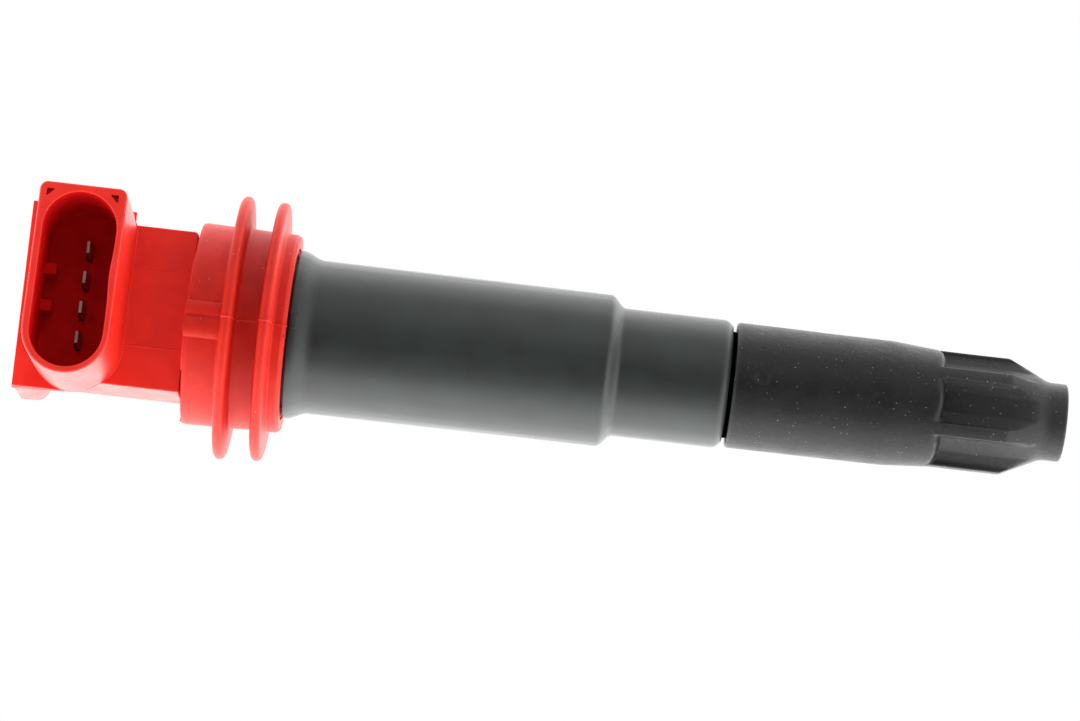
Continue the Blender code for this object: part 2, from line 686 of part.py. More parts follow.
def plug_boot():
    """The rubber boot: a wide bore over the tower, a narrow one for the plug's insulator, ribs outside."""
    edge = 0.4 * MM
    bore_step = TOWER_FOOT - 1.5 * MM
    top_bore = TOWER_RADIUS + GAP
    outline = [
        (BOOT_BORE_RADIUS + edge, BOOT_FOOT), (BOOT_NOSE_RADIUS - edge, BOOT_FOOT),
        (BOOT_NOSE_RADIUS, BOOT_FOOT + edge), (BOOT_NOSE_RADIUS, 3.95 * MM),
        (BOOT_RIB_RADIUS, 10.6 * MM), (BOOT_RIB_RADIUS, 22.4 * MM),
        (BOOT_RADIUS - 0.1 * MM, 30 * MM), (BOOT_RADIUS, BOOT_TOP - edge), (BOOT_RADIUS - edge, BOOT_TOP),
        (top_bore, BOOT_TOP), (top_bore, bore_step), (BOOT_BORE_RADIUS, bore_step - 1.5 * MM),
        (BOOT_BORE_RADIUS, BOOT_FOOT + 2 * edge),
    ]
    boot = turned("plug_boot", outline, boot_rubber(), 36, origin_height=BOOT_TOP)
    for index in range(BOOT_RIBS):
        combine(boot, flute_cutter(index), "DIFFERENCE")
    outline = arc((0, DIMPLE_HEIGHT), DIMPLE_RADIUS, 0, 360, 16)[:-1]
    dimple = prism("dimple", outline, -BOOT_RADIUS - MM, -BOOT_RADIUS + DIMPLE_DEPTH, None, cutter=True)
    combine(boot, dimple, "DIFFERENCE")


def remove_all():
    for old in list(bpy.data.objects):
        bpy.data.objects.remove(old, do_unlink=True)


def main():
    remove_all()
    head_housing()
    for index in range(TERMINAL_COUNT):
        terminal(index)
    driver_electronics()
    leads()
    outer_sleeve()
    seal_collar()
    magnetic_circuit()
    windings()
    high_voltage_end()
    contact_spring()
    plug_boot()


main()
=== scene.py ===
"""The looks of a pencil ignition coil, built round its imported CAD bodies.

The coil's axis is the frame's Z and its connector opens towards -Y. Heights are measured up from
a datum just below the boot's nose. The coil lies on its back on a white light table, seen from above.
"""

from math import cos, hypot, pi, radians, sin, tan

import bmesh
import bpy
import numpy as np
from mathutils import Matrix, Vector


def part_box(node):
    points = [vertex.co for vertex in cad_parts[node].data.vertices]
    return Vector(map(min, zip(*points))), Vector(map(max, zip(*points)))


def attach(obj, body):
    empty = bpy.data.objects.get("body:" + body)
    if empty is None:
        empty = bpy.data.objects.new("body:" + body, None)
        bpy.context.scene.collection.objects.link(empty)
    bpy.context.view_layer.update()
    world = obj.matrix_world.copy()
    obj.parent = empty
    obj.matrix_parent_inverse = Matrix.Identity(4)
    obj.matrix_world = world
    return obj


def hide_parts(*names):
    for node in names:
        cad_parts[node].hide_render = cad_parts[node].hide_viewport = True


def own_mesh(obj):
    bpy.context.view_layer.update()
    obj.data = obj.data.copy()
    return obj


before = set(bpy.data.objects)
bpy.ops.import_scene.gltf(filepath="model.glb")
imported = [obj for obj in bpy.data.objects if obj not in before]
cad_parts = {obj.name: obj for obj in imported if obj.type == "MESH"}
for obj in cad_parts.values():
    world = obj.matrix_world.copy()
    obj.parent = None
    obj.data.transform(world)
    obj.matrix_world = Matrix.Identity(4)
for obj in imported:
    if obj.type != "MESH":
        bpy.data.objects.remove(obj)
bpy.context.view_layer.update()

MM = 0.001
BOOT_LOW, BOOT_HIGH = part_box("plug_boot")
SLEEVE_LOW, SLEEVE_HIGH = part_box("outer_sleeve")
COLLAR_LOW, COLLAR_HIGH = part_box("seal_collar")
HEAD_LOW, HEAD_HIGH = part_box("head_housing")
TOWER_LOW, TOWER_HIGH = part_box("high_voltage_tower")
SPRING_LOW, SPRING_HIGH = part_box("contact_spring")
POTTING_LOW, POTTING_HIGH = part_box("head_potting")
BOOT_FOOT = 0.7
DATUM = BOOT_LOW.z - BOOT_FOOT * MM
TOWER_FLANGE = 58.9
CLEARANCE = 0.3 * MM
SHARP_ANGLE = radians(40)

# The coil is seen rolled a little about its axis, and lying slightly askew
VIEW_ROLL = radians(10)
VIEW_SLANT = radians(6.58)
VIEW_DISTANCE = 0.717
VIEW_HEIGHT = 88.5
VIEW_SHIFT = -0.43 * MM
LENS = 143.3
TOWARDS_VIEWER = Vector((-sin(VIEW_ROLL), -cos(VIEW_ROLL), 0))
ACROSS = Vector((-cos(VIEW_ROLL), sin(VIEW_ROLL), 0))


def up(height):
    """World Z of a height above the datum, given in millimetres."""
    return DATUM + height * MM


def height_of(z):
    """Height above the datum, in millimetres, of a world Z."""
    return (z - DATUM) / MM


# ---- mesh tools


def side_points(a, b, steps):
    """Evenly spaced points from a up to, but not including, b."""
    return [(a[0] + (b[0] - a[0]) * i / steps, a[1] + (b[1] - a[1]) * i / steps) for i in range(steps)]


def arc_points(x, z, radius, start, end, steps):
    """Evenly spaced points along an arc, in degrees, up to but not including its end."""
    turns = [radians(start + (end - start) * i / steps) for i in range(steps)]
    return [(x + radius * cos(a), z + radius * sin(a)) for a in turns]


def subdivide(points, longest):
    """Adds points along a closed path so that no step is longer than the limit."""
    dense = []
    for a, b in zip(points, points[1:] + points[:1]):
        count = max(1, int(np.ceil(hypot(b[0] - a[0], b[1] - a[1]) / longest)))
        dense += side_points(a, b, count)
    return dense


def filleted(corners, steps=6):
    """A closed path through (u, v, fillet) corners, each corner rounded with a true arc."""
    path = []
    count = len(corners)
    for i, (u, v, fillet) in enumerate(corners):
        here = np.array((u, v))
        before = np.array(corners[i - 1][:2]) - here
        after = np.array(corners[(i + 1) % count][:2]) - here
        room = 0.499 * min(np.linalg.norm(before), np.linalg.norm(after))
        before = before / np.linalg.norm(before)
        after = after / np.linalg.norm(after)
        half_turn = (pi - np.arccos(np.clip(before @ after, -1, 1))) / 2
        reach = min(fillet * tan(half_turn), room)
        if reach < 1e-7:
            path.append((u, v))
            continue
        start, end, weight = here + before * reach, here + after * reach, cos(half_turn)
        for k in range(steps + 1):
            t = k / steps
            a, b, c = (1 - t) ** 2, 2 * weight * t * (1 - t), t * t
            point = (a * start + b * here + c * end) / (a + b + c)
            path.append((float(point[0]), float(point[1])))
    return path


def shown(name, mesh, finish):
    """A smooth object in the scene from a mesh."""
    mesh.shade_smooth()
    if finish:
        mesh.materials.append(finish)
    piece = bpy.data.objects.new(name, mesh)
    bpy.context.scene.collection.objects.link(piece)
    return piece


def build(name, vertices, faces, finish):
    """An object from plain lists, sharp where its faces meet at more than SHARP_ANGLE."""
    mesh = bpy.data.meshes.new(name)
    mesh.from_pydata(vertices, [], faces)
    mesh.validate()
    piece = shown(name, mesh, finish)
    mesh.set_sharp_from_angle(angle=SHARP_ANGLE)
    return piece


def even_angles(count):
    return [2 * pi * i / count for i in range(count)]


def angles_with(count, *clusters):
    """Even angles, plus closer ones: each cluster is (centre, half width, step), in degrees."""
    angles = set(round(360 * i / count, 4) for i in range(count))
    for centre, half, step in clusters:
        near = int(round(half / step))
        angles = {a for a in angles if abs((a - centre + 180) % 360 - 180) > half}
        angles |= {round((centre + k * step) % 360, 4) for k in range(-near, near + 1)}
    return [radians(a) for a in sorted(angles)]


def turned(name, path, angles, finish, radial=None, relief=None):
    """A closed (radius, z) path turned about Z. radial(angle, r, z) gives a new radius, and
    relief(angle, r, z) gives a height raised along the surface."""
    path = np.array(path)
    ahead, behind = np.roll(path, -1, axis=0), np.roll(path, 1, axis=0)
    area = np.sum(path[:, 0] * ahead[:, 1] - ahead[:, 0] * path[:, 1])
    if area < 0:
        path, ahead, behind = path[::-1], behind[::-1], ahead[::-1]
    tangent = ahead - behind
    tangent /= np.linalg.norm(tangent, axis=1)[:, None]
    angle = np.array(angles)[:, None]
    r = np.repeat(path[None, :, 0], len(angles), axis=0)
    z = np.repeat(path[None, :, 1], len(angles), axis=0)
    if radial:
        r = radial(angle, r, z)
    if relief:
        height = relief(angle, r, z)
        r = r + height * tangent[None, :, 1]
        z = z - height * tangent[None, :, 0]
    vertices = np.stack((r * np.cos(angle), r * np.sin(angle), z), axis=-1).reshape(-1, 3)
    rings, ring = len(angles), len(path)
    i, j = np.meshgrid(np.arange(rings), np.arange(ring), indexing="ij")
    i2, j2 = (i + 1) % rings, (j + 1) % ring
    faces = np.stack((i * ring + j, i2 * ring + j, i2 * ring + j2, i * ring + j2), axis=-1).reshape(-1, 4)
    return build(name, vertices.tolist(), faces.tolist(), finish)


def placed(name, bm, finish):
    """An object from a finished bmesh, which is freed."""
    mesh = bpy.data.meshes.new(name)
    bm.to_mesh(mesh)
    bm.free()
    return shown(name, mesh, finish)


def lofted(name, rings, finish):
    """A closed solid through matching rings of (x, y, z) points, capped at both ends."""
    count = len(rings[0])
    vertices = [p for ring in rings for p in ring]
    faces = [list(range(count))[::-1]]
    for k in range(len(rings) - 1):
        low, high = k * count, (k + 1) * count
        faces += [(low + i, low + (i + 1) % count, high + (i + 1) % count, high + i) for i in range(count)]
    faces.append([len(vertices) - count + i for i in range(count)])
    piece = build(name, vertices, faces, finish)
    bm = bmesh.new()
    bm.from_mesh(piece.data)
    bmesh.ops.recalc_face_normals(bm, faces=bm.faces)
    bm.to_mesh(piece.data)
    bm.free()
    return piece


def box(name, low, high, finish, bevel=0.0):
    """A block between two corners, with its edges rounded."""
    bm = bmesh.new()
    bmesh.ops.create_cube(bm, size=1.0)
    bmesh.ops.scale(bm, vec=Vector(high) - Vector(low), verts=bm.verts)
    bmesh.ops.translate(bm, vec=(Vector(low) + Vector(high)) / 2, verts=bm.verts)
    if bevel:
        bmesh.ops.bevel(bm, geom=bm.edges[:], offset=bevel, segments=3, profile=0.5, affect="EDGES")
    return placed(name, bm, finish)


def boolean(target, tool, operation):
    """Joins or cuts with another solid, at once, and removes that solid."""
    step = target.modifiers.new("join", "BOOLEAN")
    step.operation = operation
    step.solver = "EXACT"
    step.object = tool
    graph = bpy.context.evaluated_depsgraph_get()
    graph.update()
    mesh = bpy.data.meshes.new_from_object(target.evaluated_get(graph))
    target.modifiers.clear()
    target.data = mesh
    bpy.data.objects.remove(tool)


def stand_in(piece, node, body):
    """Shows a piece instead of a CAD node: it rides that node's body, and the node is hidden."""
    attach(piece, body)
    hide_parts(node)


def smoothstep(t):
    t = np.clip(t, 0, 1)
    return t * t * (3 - 2 * t)


def turn_between(angle, centre_deg):
    """Signed angle in radians from a direction, between -pi and pi."""
    return (angle - radians(centre_deg) + pi) % (2 * pi) - pi


# ---- materials


def map_range(tree, value, low, high, to_low=0.0, to_high=1.0, smooth=False):
    """Carries a value from one range to another, held at both ends."""
    node = tree.nodes.new("ShaderNodeMapRange")
    node.interpolation_type = "SMOOTHSTEP" if smooth else "LINEAR"
    tree.links.new(value, node.inputs["Value"])
    for socket, number in zip(("From Min", "From Max", "To Min", "To Max"), (low, high, to_low, to_high)):
        node.inputs[socket].default_value = number
    return node.outputs["Result"]


def dot_product(tree, vector, direction):
    node = tree.nodes.new("ShaderNodeVectorMath")
    node.operation = "DOT_PRODUCT"
    tree.links.new(vector, node.inputs[0])
    node.inputs[1].default_value = direction
    return node.outputs["Value"]


def mix_shaders(tree, factor, first, second):
    node = tree.nodes.new("ShaderNodeMixShader")
    for slot, output in enumerate((factor, first, second)):
        tree.links.new(output, node.inputs[slot])
    return node.outputs[0]


class Finish:
    """A material's node tree, with short names for the few nodes that the finishes share."""

    def __init__(self, name, metallic=0.0):
        self.material = bpy.data.materials.new(name)
        self.material.use_nodes = True
        self.tree = self.material.node_tree
        self.nodes = self.tree.nodes
        self.links = self.tree.links
        self.shader = self.nodes["Principled BSDF"]
        self.set("Metallic", metallic)
        place = self.nodes.new("ShaderNodeTexCoord").outputs["Object"]
        self.place = self.stretched(place, (1 / MM, 1 / MM, 1 / MM))

    def set(self, socket, value):
        self.shader.inputs[socket].default_value = value

    def feed(self, socket, output):
        self.links.new(output, self.shader.inputs[socket])

    def stretched(self, vector, factors):
        node = self.nodes.new("ShaderNodeVectorMath")
        node.operation = "MULTIPLY"
        self.links.new(vector, node.inputs[0])
        node.inputs[1].default_value = factors
        return node.outputs[0]

    def along_z(self):
        """World Z in millimetres."""
        node = self.nodes.new("ShaderNodeSeparateXYZ")
        self.links.new(self.place, node.inputs[0])
        return node.outputs["Z"]

    def math(self, operation, a, b):
        node = self.nodes.new("ShaderNodeMath")
        node.operation = operation
        for slot, value in ((0, a), (1, b)):
            if isinstance(value, (int, float)):
                node.inputs[slot].default_value = value
            else:
                self.links.new(value, node.inputs[slot])
        return node.outputs[0]

    def noise(self, size, detail=3.0, stretch=(1, 1, 1), rough=0.5):
        """Noise whose blobs are about size millimetres across."""
        node = self.nodes.new("ShaderNodeTexNoise")
        node.inputs["Scale"].default_value = 1.0 / size
        node.inputs["Detail"].default_value = detail
        node.inputs["Roughness"].default_value = rough
        self.links.new(self.stretched(self.place, stretch), node.inputs["Vector"])
        return node.outputs["Fac"]

    def dots(self, size, share):
        """Round specks on a grid of cells of about size millimetres: 1 in a speck, 0 elsewhere."""
        node = self.nodes.new("ShaderNodeTexVoronoi")
        node.inputs["Scale"].default_value = 1.0 / size
        self.links.new(self.place, node.inputs["Vector"])
        split = self.nodes.new("ShaderNodeSeparateColor")
        self.links.new(node.outputs["Color"], split.inputs[0])
        radius = self.math("MULTIPLY", split.outputs[0], share)
        return self.math("LESS_THAN", node.outputs["Distance"], radius)

    def span(self, value, low, high, to_low=0.0, to_high=1.0, smooth=False):
        return map_range(self.tree, value, low, high, to_low, to_high, smooth)

    def mix(self, factor, a, b):
        """A colour between a and b; each is a colour or an output."""
        node = self.nodes.new("ShaderNodeMix")
        node.data_type = "RGBA"
        self.links.new(factor, node.inputs[0])
        for slot, value in ((6, a), (7, b)):
            if isinstance(value, tuple):
                node.inputs[slot].default_value = (*value, 1.0)
            else:
                self.links.new(value, node.inputs[slot])
        return node.outputs[2]

    def edge_highlight(self, spread):
        """1 on sharp outer edges, 0 on flats: the mask of a painted highlight."""
        node = self.nodes.new("ShaderNodeNewGeometry")
        return self.span(node.outputs["Pointiness"], 0.5, 0.5 + spread)

    def bump(self, *layers):
        """Bump from (output, height in millimetres) layers, one after another."""
        normal = None
        for output, height in layers:
            node = self.nodes.new("ShaderNodeBump")
            node.inputs["Distance"].default_value = height * MM
            self.links.new(output, node.inputs["Height"])
            if normal:
                self.links.new(normal, node.inputs["Normal"])
            normal = node.outputs["Normal"]
        self.feed("Normal", normal)


def red_plastic():
    """Satin glass-filled nylon, with a fine grain and faint flow marks from the mould."""
    f = Finish("red_plastic")
    cloud = f.noise(4.0, detail=4)
    grain = f.noise(0.22, detail=2)
    flow = f.noise(1.2, detail=3, stretch=(1, 1, 0.18))
    tone = f.mix(f.span(cloud, 0.3, 0.7), (0.68, 0.014, 0.006), (0.77, 0.019, 0.008))
    tone = f.mix(f.span(flow, 0.58, 0.72, 0.0, 0.25), tone, (0.61, 0.012, 0.005))
    f.feed("Base Color", tone)
    f.feed("Roughness", f.span(f.math("ADD", grain, cloud), 0.7, 1.3, 0.36, 0.5))
    f.set("Specular IOR Level", 0.4)
    f.bump((flow, 0.006), (grain, 0.008))
    return f.material


def socket_painted_shade():
    """Painted shade: a darker, duller copy of the red nylon for the faces inside the connector, where
    little light reaches.
    """
    f = Finish("socket_painted_shade")
    cloud = f.noise(2.5, detail=4)
    grain = f.noise(0.25, detail=3)
    # Painted shade: darker than the red plastic's colour, standing for the shade inside the socket.
    f.feed("Base Color", f.mix(f.span(cloud, 0.3, 0.7), (0.54, 0.004, 0.005), (0.66, 0.006, 0.007)))
    f.feed("Roughness", f.span(grain, 0.3, 0.7, 0.52, 0.68))
    f.set("Specular IOR Level", 0.08)
    f.bump((cloud, 0.01), (grain, 0.01))
    return f.material


def red_silicone():
    """Soft moulded silicone: more matte than the plastic, dusty, and slightly translucent."""
    f = Finish("red_silicone")
    cloud = f.noise(3.0, detail=4)
    grain = f.noise(0.3, detail=3)
    dust = f.math("MAXIMUM", f.dots(1.6, 0.07), f.dots(3.1, 0.05))
    tone = f.mix(f.span(cloud, 0.3, 0.7), (0.52, 0.011, 0.004), (0.62, 0.018, 0.006))
    tone = f.mix(f.math("MULTIPLY", dust, 0.45), tone, (0.85, 0.45, 0.38))
    f.feed("Base Color", tone)
    f.feed("Roughness", f.span(grain, 0.3, 0.7, 0.46, 0.6))
    f.set("Specular IOR Level", 0.24)
    f.set("Subsurface Weight", 0.25)
    f.set("Subsurface Radius", (1.0, 0.12, 0.05))
    f.set("Subsurface Scale", 0.9 * MM)
    f.bump((cloud, 0.012), (grain, 0.01))
    return f.material


def sleeve_plastic():
    """Satin dark grey casing with a faint green cast, drawn streaks and a few fine scuffs; below its foot
    the spigot is painted black, as painted shade in the gap against the boot."""
    f = Finish("sleeve_plastic")
    streak = f.noise(1.5, detail=4, stretch=(1, 1, 0.05))
    cloud = f.noise(6.0, detail=3)
    grain = f.noise(0.18, detail=2)
    scuff = f.noise(2.5, detail=8, stretch=(1, 1, 0.3), rough=0.75)
    tone = f.mix(f.span(cloud, 0.35, 0.65), (0.013, 0.015, 0.0145), (0.015, 0.022, 0.02))
    tone = f.mix(f.span(scuff, 0.66, 0.74, 0.0, 0.2), tone, (0.07, 0.08, 0.08))
    # Painted shade: below the casing's foot the spigot is near black with no specular, standing for the
    # shade in the gap between the sleeve and the boot.
    casing = f.span(f.along_z(), SLEEVE_LOW.z / MM - 0.04, SLEEVE_LOW.z / MM)
    f.feed("Base Color", f.mix(casing, (0.001, 0.001, 0.001), tone))
    f.feed("Specular IOR Level", f.math("MULTIPLY", casing, 0.5))
    f.feed("Roughness", f.span(f.math("ADD", streak, grain), 0.7, 1.3, 0.36, 0.48))
    f.bump((streak, 0.008), (grain, 0.006))
    return f.material


def boot_rubber():
    """Satin black rubber with a rough grain, talc dust, a bloom on its nose, and a painted highlight on its
    sharp edges.
    """
    f = Finish("boot_rubber")
    cloud = f.noise(5.0, detail=5, rough=0.6)
    lumps = f.noise(1.1, detail=3, rough=0.6)
    grain = f.noise(0.3, detail=4, rough=0.65)
    speckle = f.span(f.noise(0.7, detail=6, rough=0.8), 0.56, 0.7)
    fine = f.math("MAXIMUM", f.dots(0.8, 0.12), f.dots(2.1, 0.055))
    near_mouth = f.span(f.along_z(), up(24) / MM, up(3) / MM, smooth=True)
    tone = f.mix(f.span(cloud, 0.35, 0.7), (0.003, 0.003, 0.003), (0.007, 0.007, 0.0068))
    tone = f.mix(f.math("MULTIPLY", near_mouth, 0.6), tone, (0.026, 0.026, 0.026))
    tone = f.mix(f.math("MULTIPLY", speckle, 0.55), tone, (0.034, 0.034, 0.034))
    # Painted highlight: sharp edges, such as the ribs' edges, are lightened.
    tone = f.mix(f.math("MULTIPLY", f.edge_highlight(0.06), 0.7), tone, (0.07, 0.07, 0.07))
    tone = f.mix(f.math("MULTIPLY", fine, 0.45), tone, (0.4, 0.4, 0.38))
    f.feed("Base Color", tone)
    f.feed("Roughness", f.span(cloud, 0.3, 0.7, 0.42, 0.54))
    f.set("Specular IOR Level", 0.3)
    f.bump((cloud, 0.08), (lumps, 0.06), (grain, 0.05))
    return f.material


def metal(name, color, roughness, size, stretch=(1, 1, 1)):
    """A metal with a fine brushed or drawn surface and slight tarnish."""
    f = Finish(name, metallic=1.0)
    grain = f.noise(size, detail=4, stretch=stretch)
    tarnish = f.noise(size * 8, detail=4)
    dark = tuple(c * 0.6 for c in color)
    f.feed("Base Color", f.mix(f.span(tarnish, 0.45, 0.75), color, dark))
    f.feed("Roughness", f.span(grain, 0.3, 0.7, roughness * 0.75, roughness * 1.35))
    f.bump((grain, 0.01))
    return f.material


def moulded(name, color, roughness, size=0.4):
    """A plain moulded or cast surface with a fine grain and slight unevenness of colour."""
    f = Finish(name)
    cloud = f.noise(size * 10, detail=4)
    grain = f.noise(size, detail=3)
    light = tuple(min(1.0, c * 1.2) for c in color)
    dark = tuple(c * 0.82 for c in color)
    f.feed("Base Color", f.mix(f.span(cloud, 0.35, 0.65), dark, light))
    f.feed("Roughness", f.span(grain, 0.3, 0.7, roughness * 0.85, min(1.0, roughness * 1.2)))
    f.bump((grain, 0.01))
    return f.material


def wound(name, color, pitch):
    """Enamelled wire wound round Z, turn beside turn."""
    f = Finish(name, metallic=0.9)
    f.set("Roughness", 0.3)
    wave = f.nodes.new("ShaderNodeTexWave")
    wave.wave_type = "BANDS"
    wave.bands_direction = "Z"
    wave.inputs["Scale"].default_value = 0.314 / pitch
    f.links.new(f.place, wave.inputs["Vector"])
    cloud = f.noise(3.0)
    dark = tuple(c * 0.55 for c in color)
    f.feed("Base Color", f.mix(f.span(cloud, 0.35, 0.7), color, dark))
    f.bump((wave.outputs["Fac"], pitch * 0.4))
    return f.material


# ---- the boot

BOOT_RADIUS = BOOT_HIGH.x
BOOT_TOP = height_of(BOOT_HIGH.z)
NOSE_RADIUS = 6.5
RIBBED_RADIUS = 9.75
PLUG_BORE = 4.95
PLUG_RING = 4.7
PLUG_RINGS = (9.1, 3.9)
PLUG_STOP = 33.0
GRIP_BORE = 7.1
RIB_COUNT = 6
RIB_HALF_WIDTH = 1.1 * MM
RIB_ROUND = 0.65 * MM
RIB_REACH = 9.2 * MM
FLUTE_FLOOR = 7.4 * MM
FLUTE_FLAT = 1.65 * MM
FLUTE_SLOPE = 0.47
FLUTE_TOP = 21.2
FLUTE_ARCH = 0.85 * MM
FLUTE_LIP = 1.4 * MM
DIMPLE_HEIGHT = 51.8
DIMPLE_RADIUS = 0.85 * MM
DIMPLE_DEPTH = 0.16 * MM


def flute_floor(offset):
    """Radius of a flute's floor at an angle from its middle line: flat in the middle, then rising."""
    flat = FLUTE_FLOOR / np.cos(offset)
    slope = (FLUTE_FLOOR - FLUTE_SLOPE * FLUTE_FLAT) / (np.cos(offset) - FLUTE_SLOPE * np.sin(offset))
    return np.where(np.tan(offset) * FLUTE_FLOOR < FLUTE_FLAT, flat, slope)


def rounding(inside, radius):
    """How far a quarter-round edge of a radius has dropped, a distance inside its start."""
    share = np.clip(inside / np.maximum(radius, 1e-9), 0, 1)
    return radius * (1 - np.sqrt(1 - share**2))


def boot_radial(angle, r, z):
    """Cuts the flutes between the boot's ribs, with rounded ribs, roots and upper ends."""
    sector = 2 * pi / RIB_COUNT
    offset = np.abs((angle + pi / 2 + sector / 2) % sector - sector / 2)
    floor = flute_floor(offset)
    beyond_rib = (sector / 2 - offset) * RIB_REACH - RIB_HALF_WIDTH
    edge = np.minimum(RIB_ROUND, np.maximum(0, r - floor) / 2)
    rib = r - rounding(beyond_rib + edge, edge)
    flute = floor + rounding(edge - beyond_rib, edge)
    soft = 1e-7 + 0.5 * MM * smoothstep(beyond_rib / (0.6 * MM))
    blend = np.clip(0.5 + (flute - r) / (2 * soft), 0, 1)
    flute = flute * (1 - blend) + r * blend - soft * blend * (1 - blend)
    cut = np.where(beyond_rib < 0, rib, np.minimum(flute, r))
    end = up(FLUTE_TOP) + FLUTE_ARCH * (offset / (sector / 2)) ** 2
    closed = 1 - (1 - np.clip((z - end) / FLUTE_LIP, 0, 1)) ** 2.5
    return cut + (r - cut) * closed


def boot_relief(angle, r, z):
    """The round dimple on the connector's side, and a slight unevenness of the rubber."""
    across = turn_between(angle, -90) * r
    distance = np.hypot(across, z - up(DIMPLE_HEIGHT))
    outside = r > BOOT_RADIUS * 0.85
    dip = -DIMPLE_DEPTH * smoothstep((DIMPLE_RADIUS - distance) / (0.7 * MM) + 0.5)
    wobble = 0.03 * MM * np.sin(3 * angle + z / (9 * MM)) * np.sin(z / (6 * MM))
    return np.where(outside, dip + wobble, 0.0)


def plug_boot():
    """The rubber boot: nose, cone and ribs outside; sealing rings and a step inside its bore."""
    radius, foot, top = BOOT_RADIUS / MM, BOOT_FOOT, BOOT_TOP
    outside = [
        (PLUG_BORE + 0.4, foot, 0.15), (NOSE_RADIUS, foot, 0.4), (NOSE_RADIUS, 3.95, 4.0),
        (RIBBED_RADIUS, 10.6, 1.4), (RIBBED_RADIUS, 22.4, 1.5), (10.38, 30, 14),
        (radius, top - 0.5, 0.2), (radius - 0.2, top, 0.25),
    ]
    inside = [(GRIP_BORE + 0.3, top, 0.3), (GRIP_BORE, top - 0.8, 0.3)]
    inside += [(GRIP_BORE, PLUG_STOP + 1.5, 0.3), (PLUG_BORE, PLUG_STOP, 0.8)]
    for middle in PLUG_RINGS:
        inside += [(PLUG_BORE, middle + 0.9, 0.3), (PLUG_RING, middle + 0.3, 0.3)]
        inside += [(PLUG_RING, middle - 0.3, 0.3), (PLUG_BORE, middle - 0.9, 0.3)]
    inside.append((PLUG_BORE, foot + 0.7, 0.3))
    path = subdivide([(r * MM, up(h)) for r, h in filleted(outside + inside)], 0.3 * MM)
    sector = 360 / RIB_COUNT
    clusters = [((sector / 2 - 90 + sector * k) % 360, 9.0, 0.25) for k in range(RIB_COUNT)]
    angles = angles_with(240, *clusters, (270, 7.5, 0.5))
    boot = turned("boot_rubber_sleeve", path, angles, boot_rubber(), boot_radial, boot_relief)
    stand_in(boot, "plug_boot", "boot")


# ---- the sleeve

SPIGOT = 0.66
SPIGOT_RADIUS = 8.9
SLEEVE_FOOT_RADIUS = 10.7
SLEEVE_STEP = (75.2, 77.8)
SLEEVE_FLARE = (125.9, 129.7)
SLEEVE_SHOULDER = 130.0
SLEEVE_BORE = 11.1
SLEEVE_FOOT_BORE = 9.3
BARREL_INSERT = 12.0
MOULD_RING = 126.45
SLEEVE_KEY_ANGLE = -92.0
SLEEVE_KEY_RADIUS = 13.95 * MM
SLEEVE_KEY_HEIGHT = 129.25
SLEEVE_KEY_HALF = Vector((1.0, 0.28, 0.45)) * MM


def ease_points(heights, low_radius, high_radius, steps=10):
    """Points of a soft S-shaped change of radius between two heights, with no fillets."""
    points = []
    for i in range(steps + 1):
        t = i / steps
        radius = low_radius + (high_radius - low_radius) * float(smoothstep(t))
        points.append((radius, heights[0] + (heights[1] - heights[0]) * t, 0))
    return points


def sleeve_relief(angle, r, z):
    """The faint ring where two parts of the sleeve's mould met."""
    ring = 0.03 * MM * np.exp(-(((z - up(MOULD_RING)) / (0.12 * MM)) ** 2))
    return np.where(r > SLEEVE_HIGH.x * 0.88, ring, 0.0)


def outer_sleeve():
    """The stepped casing, its flare under the collar, and the small key at the collar's edge."""
    foot, top = height_of(SLEEVE_LOW.z), height_of(SLEEVE_HIGH.z)
    flare = SLEEVE_HIGH.x / MM
    bore = TOWER_HIGH.x / MM - 1.8
    outside = [(bore, foot - SPIGOT, 0.1), (SPIGOT_RADIUS, foot - SPIGOT, 0.1), (SPIGOT_RADIUS, foot, 0.1)]
    outside += [(9.8, foot, 0.4), (10.72, foot + 1.0, 2.0)]
    outside += ease_points(SLEEVE_STEP, SLEEVE_FOOT_RADIUS, 12.7)
    outside += ease_points(SLEEVE_FLARE, 12.85, flare, steps=16)
    outside += [(flare, SLEEVE_SHOULDER, 0.12), (BARREL_INSERT, SLEEVE_SHOULDER, 0.05)]
    inside = [(BARREL_INSERT, top, 0.2), (SLEEVE_BORE, top, 0.2), (SLEEVE_BORE, SLEEVE_STEP[1] + 0.2, 1.0)]
    inside += [(SLEEVE_FOOT_BORE, SLEEVE_STEP[0] + 0.5, 1.0), (SLEEVE_FOOT_BORE, TOWER_FLANGE - 0.2, 0.2)]
    inside.append((bore, TOWER_FLANGE - 0.3, 0.1))
    path = subdivide([(r * MM, up(h)) for r, h in filleted(outside + inside)], 0.5 * MM)
    sleeve = turned("sleeve_casing", path, even_angles(224), sleeve_plastic(), relief=sleeve_relief)
    stand_in(sleeve, "outer_sleeve", "coil_body")

    finish = moulded("sleeve_key_plastic", (0.026, 0.03, 0.03), 0.3)
    key = box("sleeve_key", -SLEEVE_KEY_HALF, SLEEVE_KEY_HALF, finish, bevel=0.1 * MM)
    turn = Matrix.Rotation(radians(SLEEVE_KEY_ANGLE + 90), 4, "Z")
    key.matrix_world = turn @ Matrix.Translation((0, -SLEEVE_KEY_RADIUS, up(SLEEVE_KEY_HEIGHT)))
    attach(key, "coil_body")


# ---- the seal collar

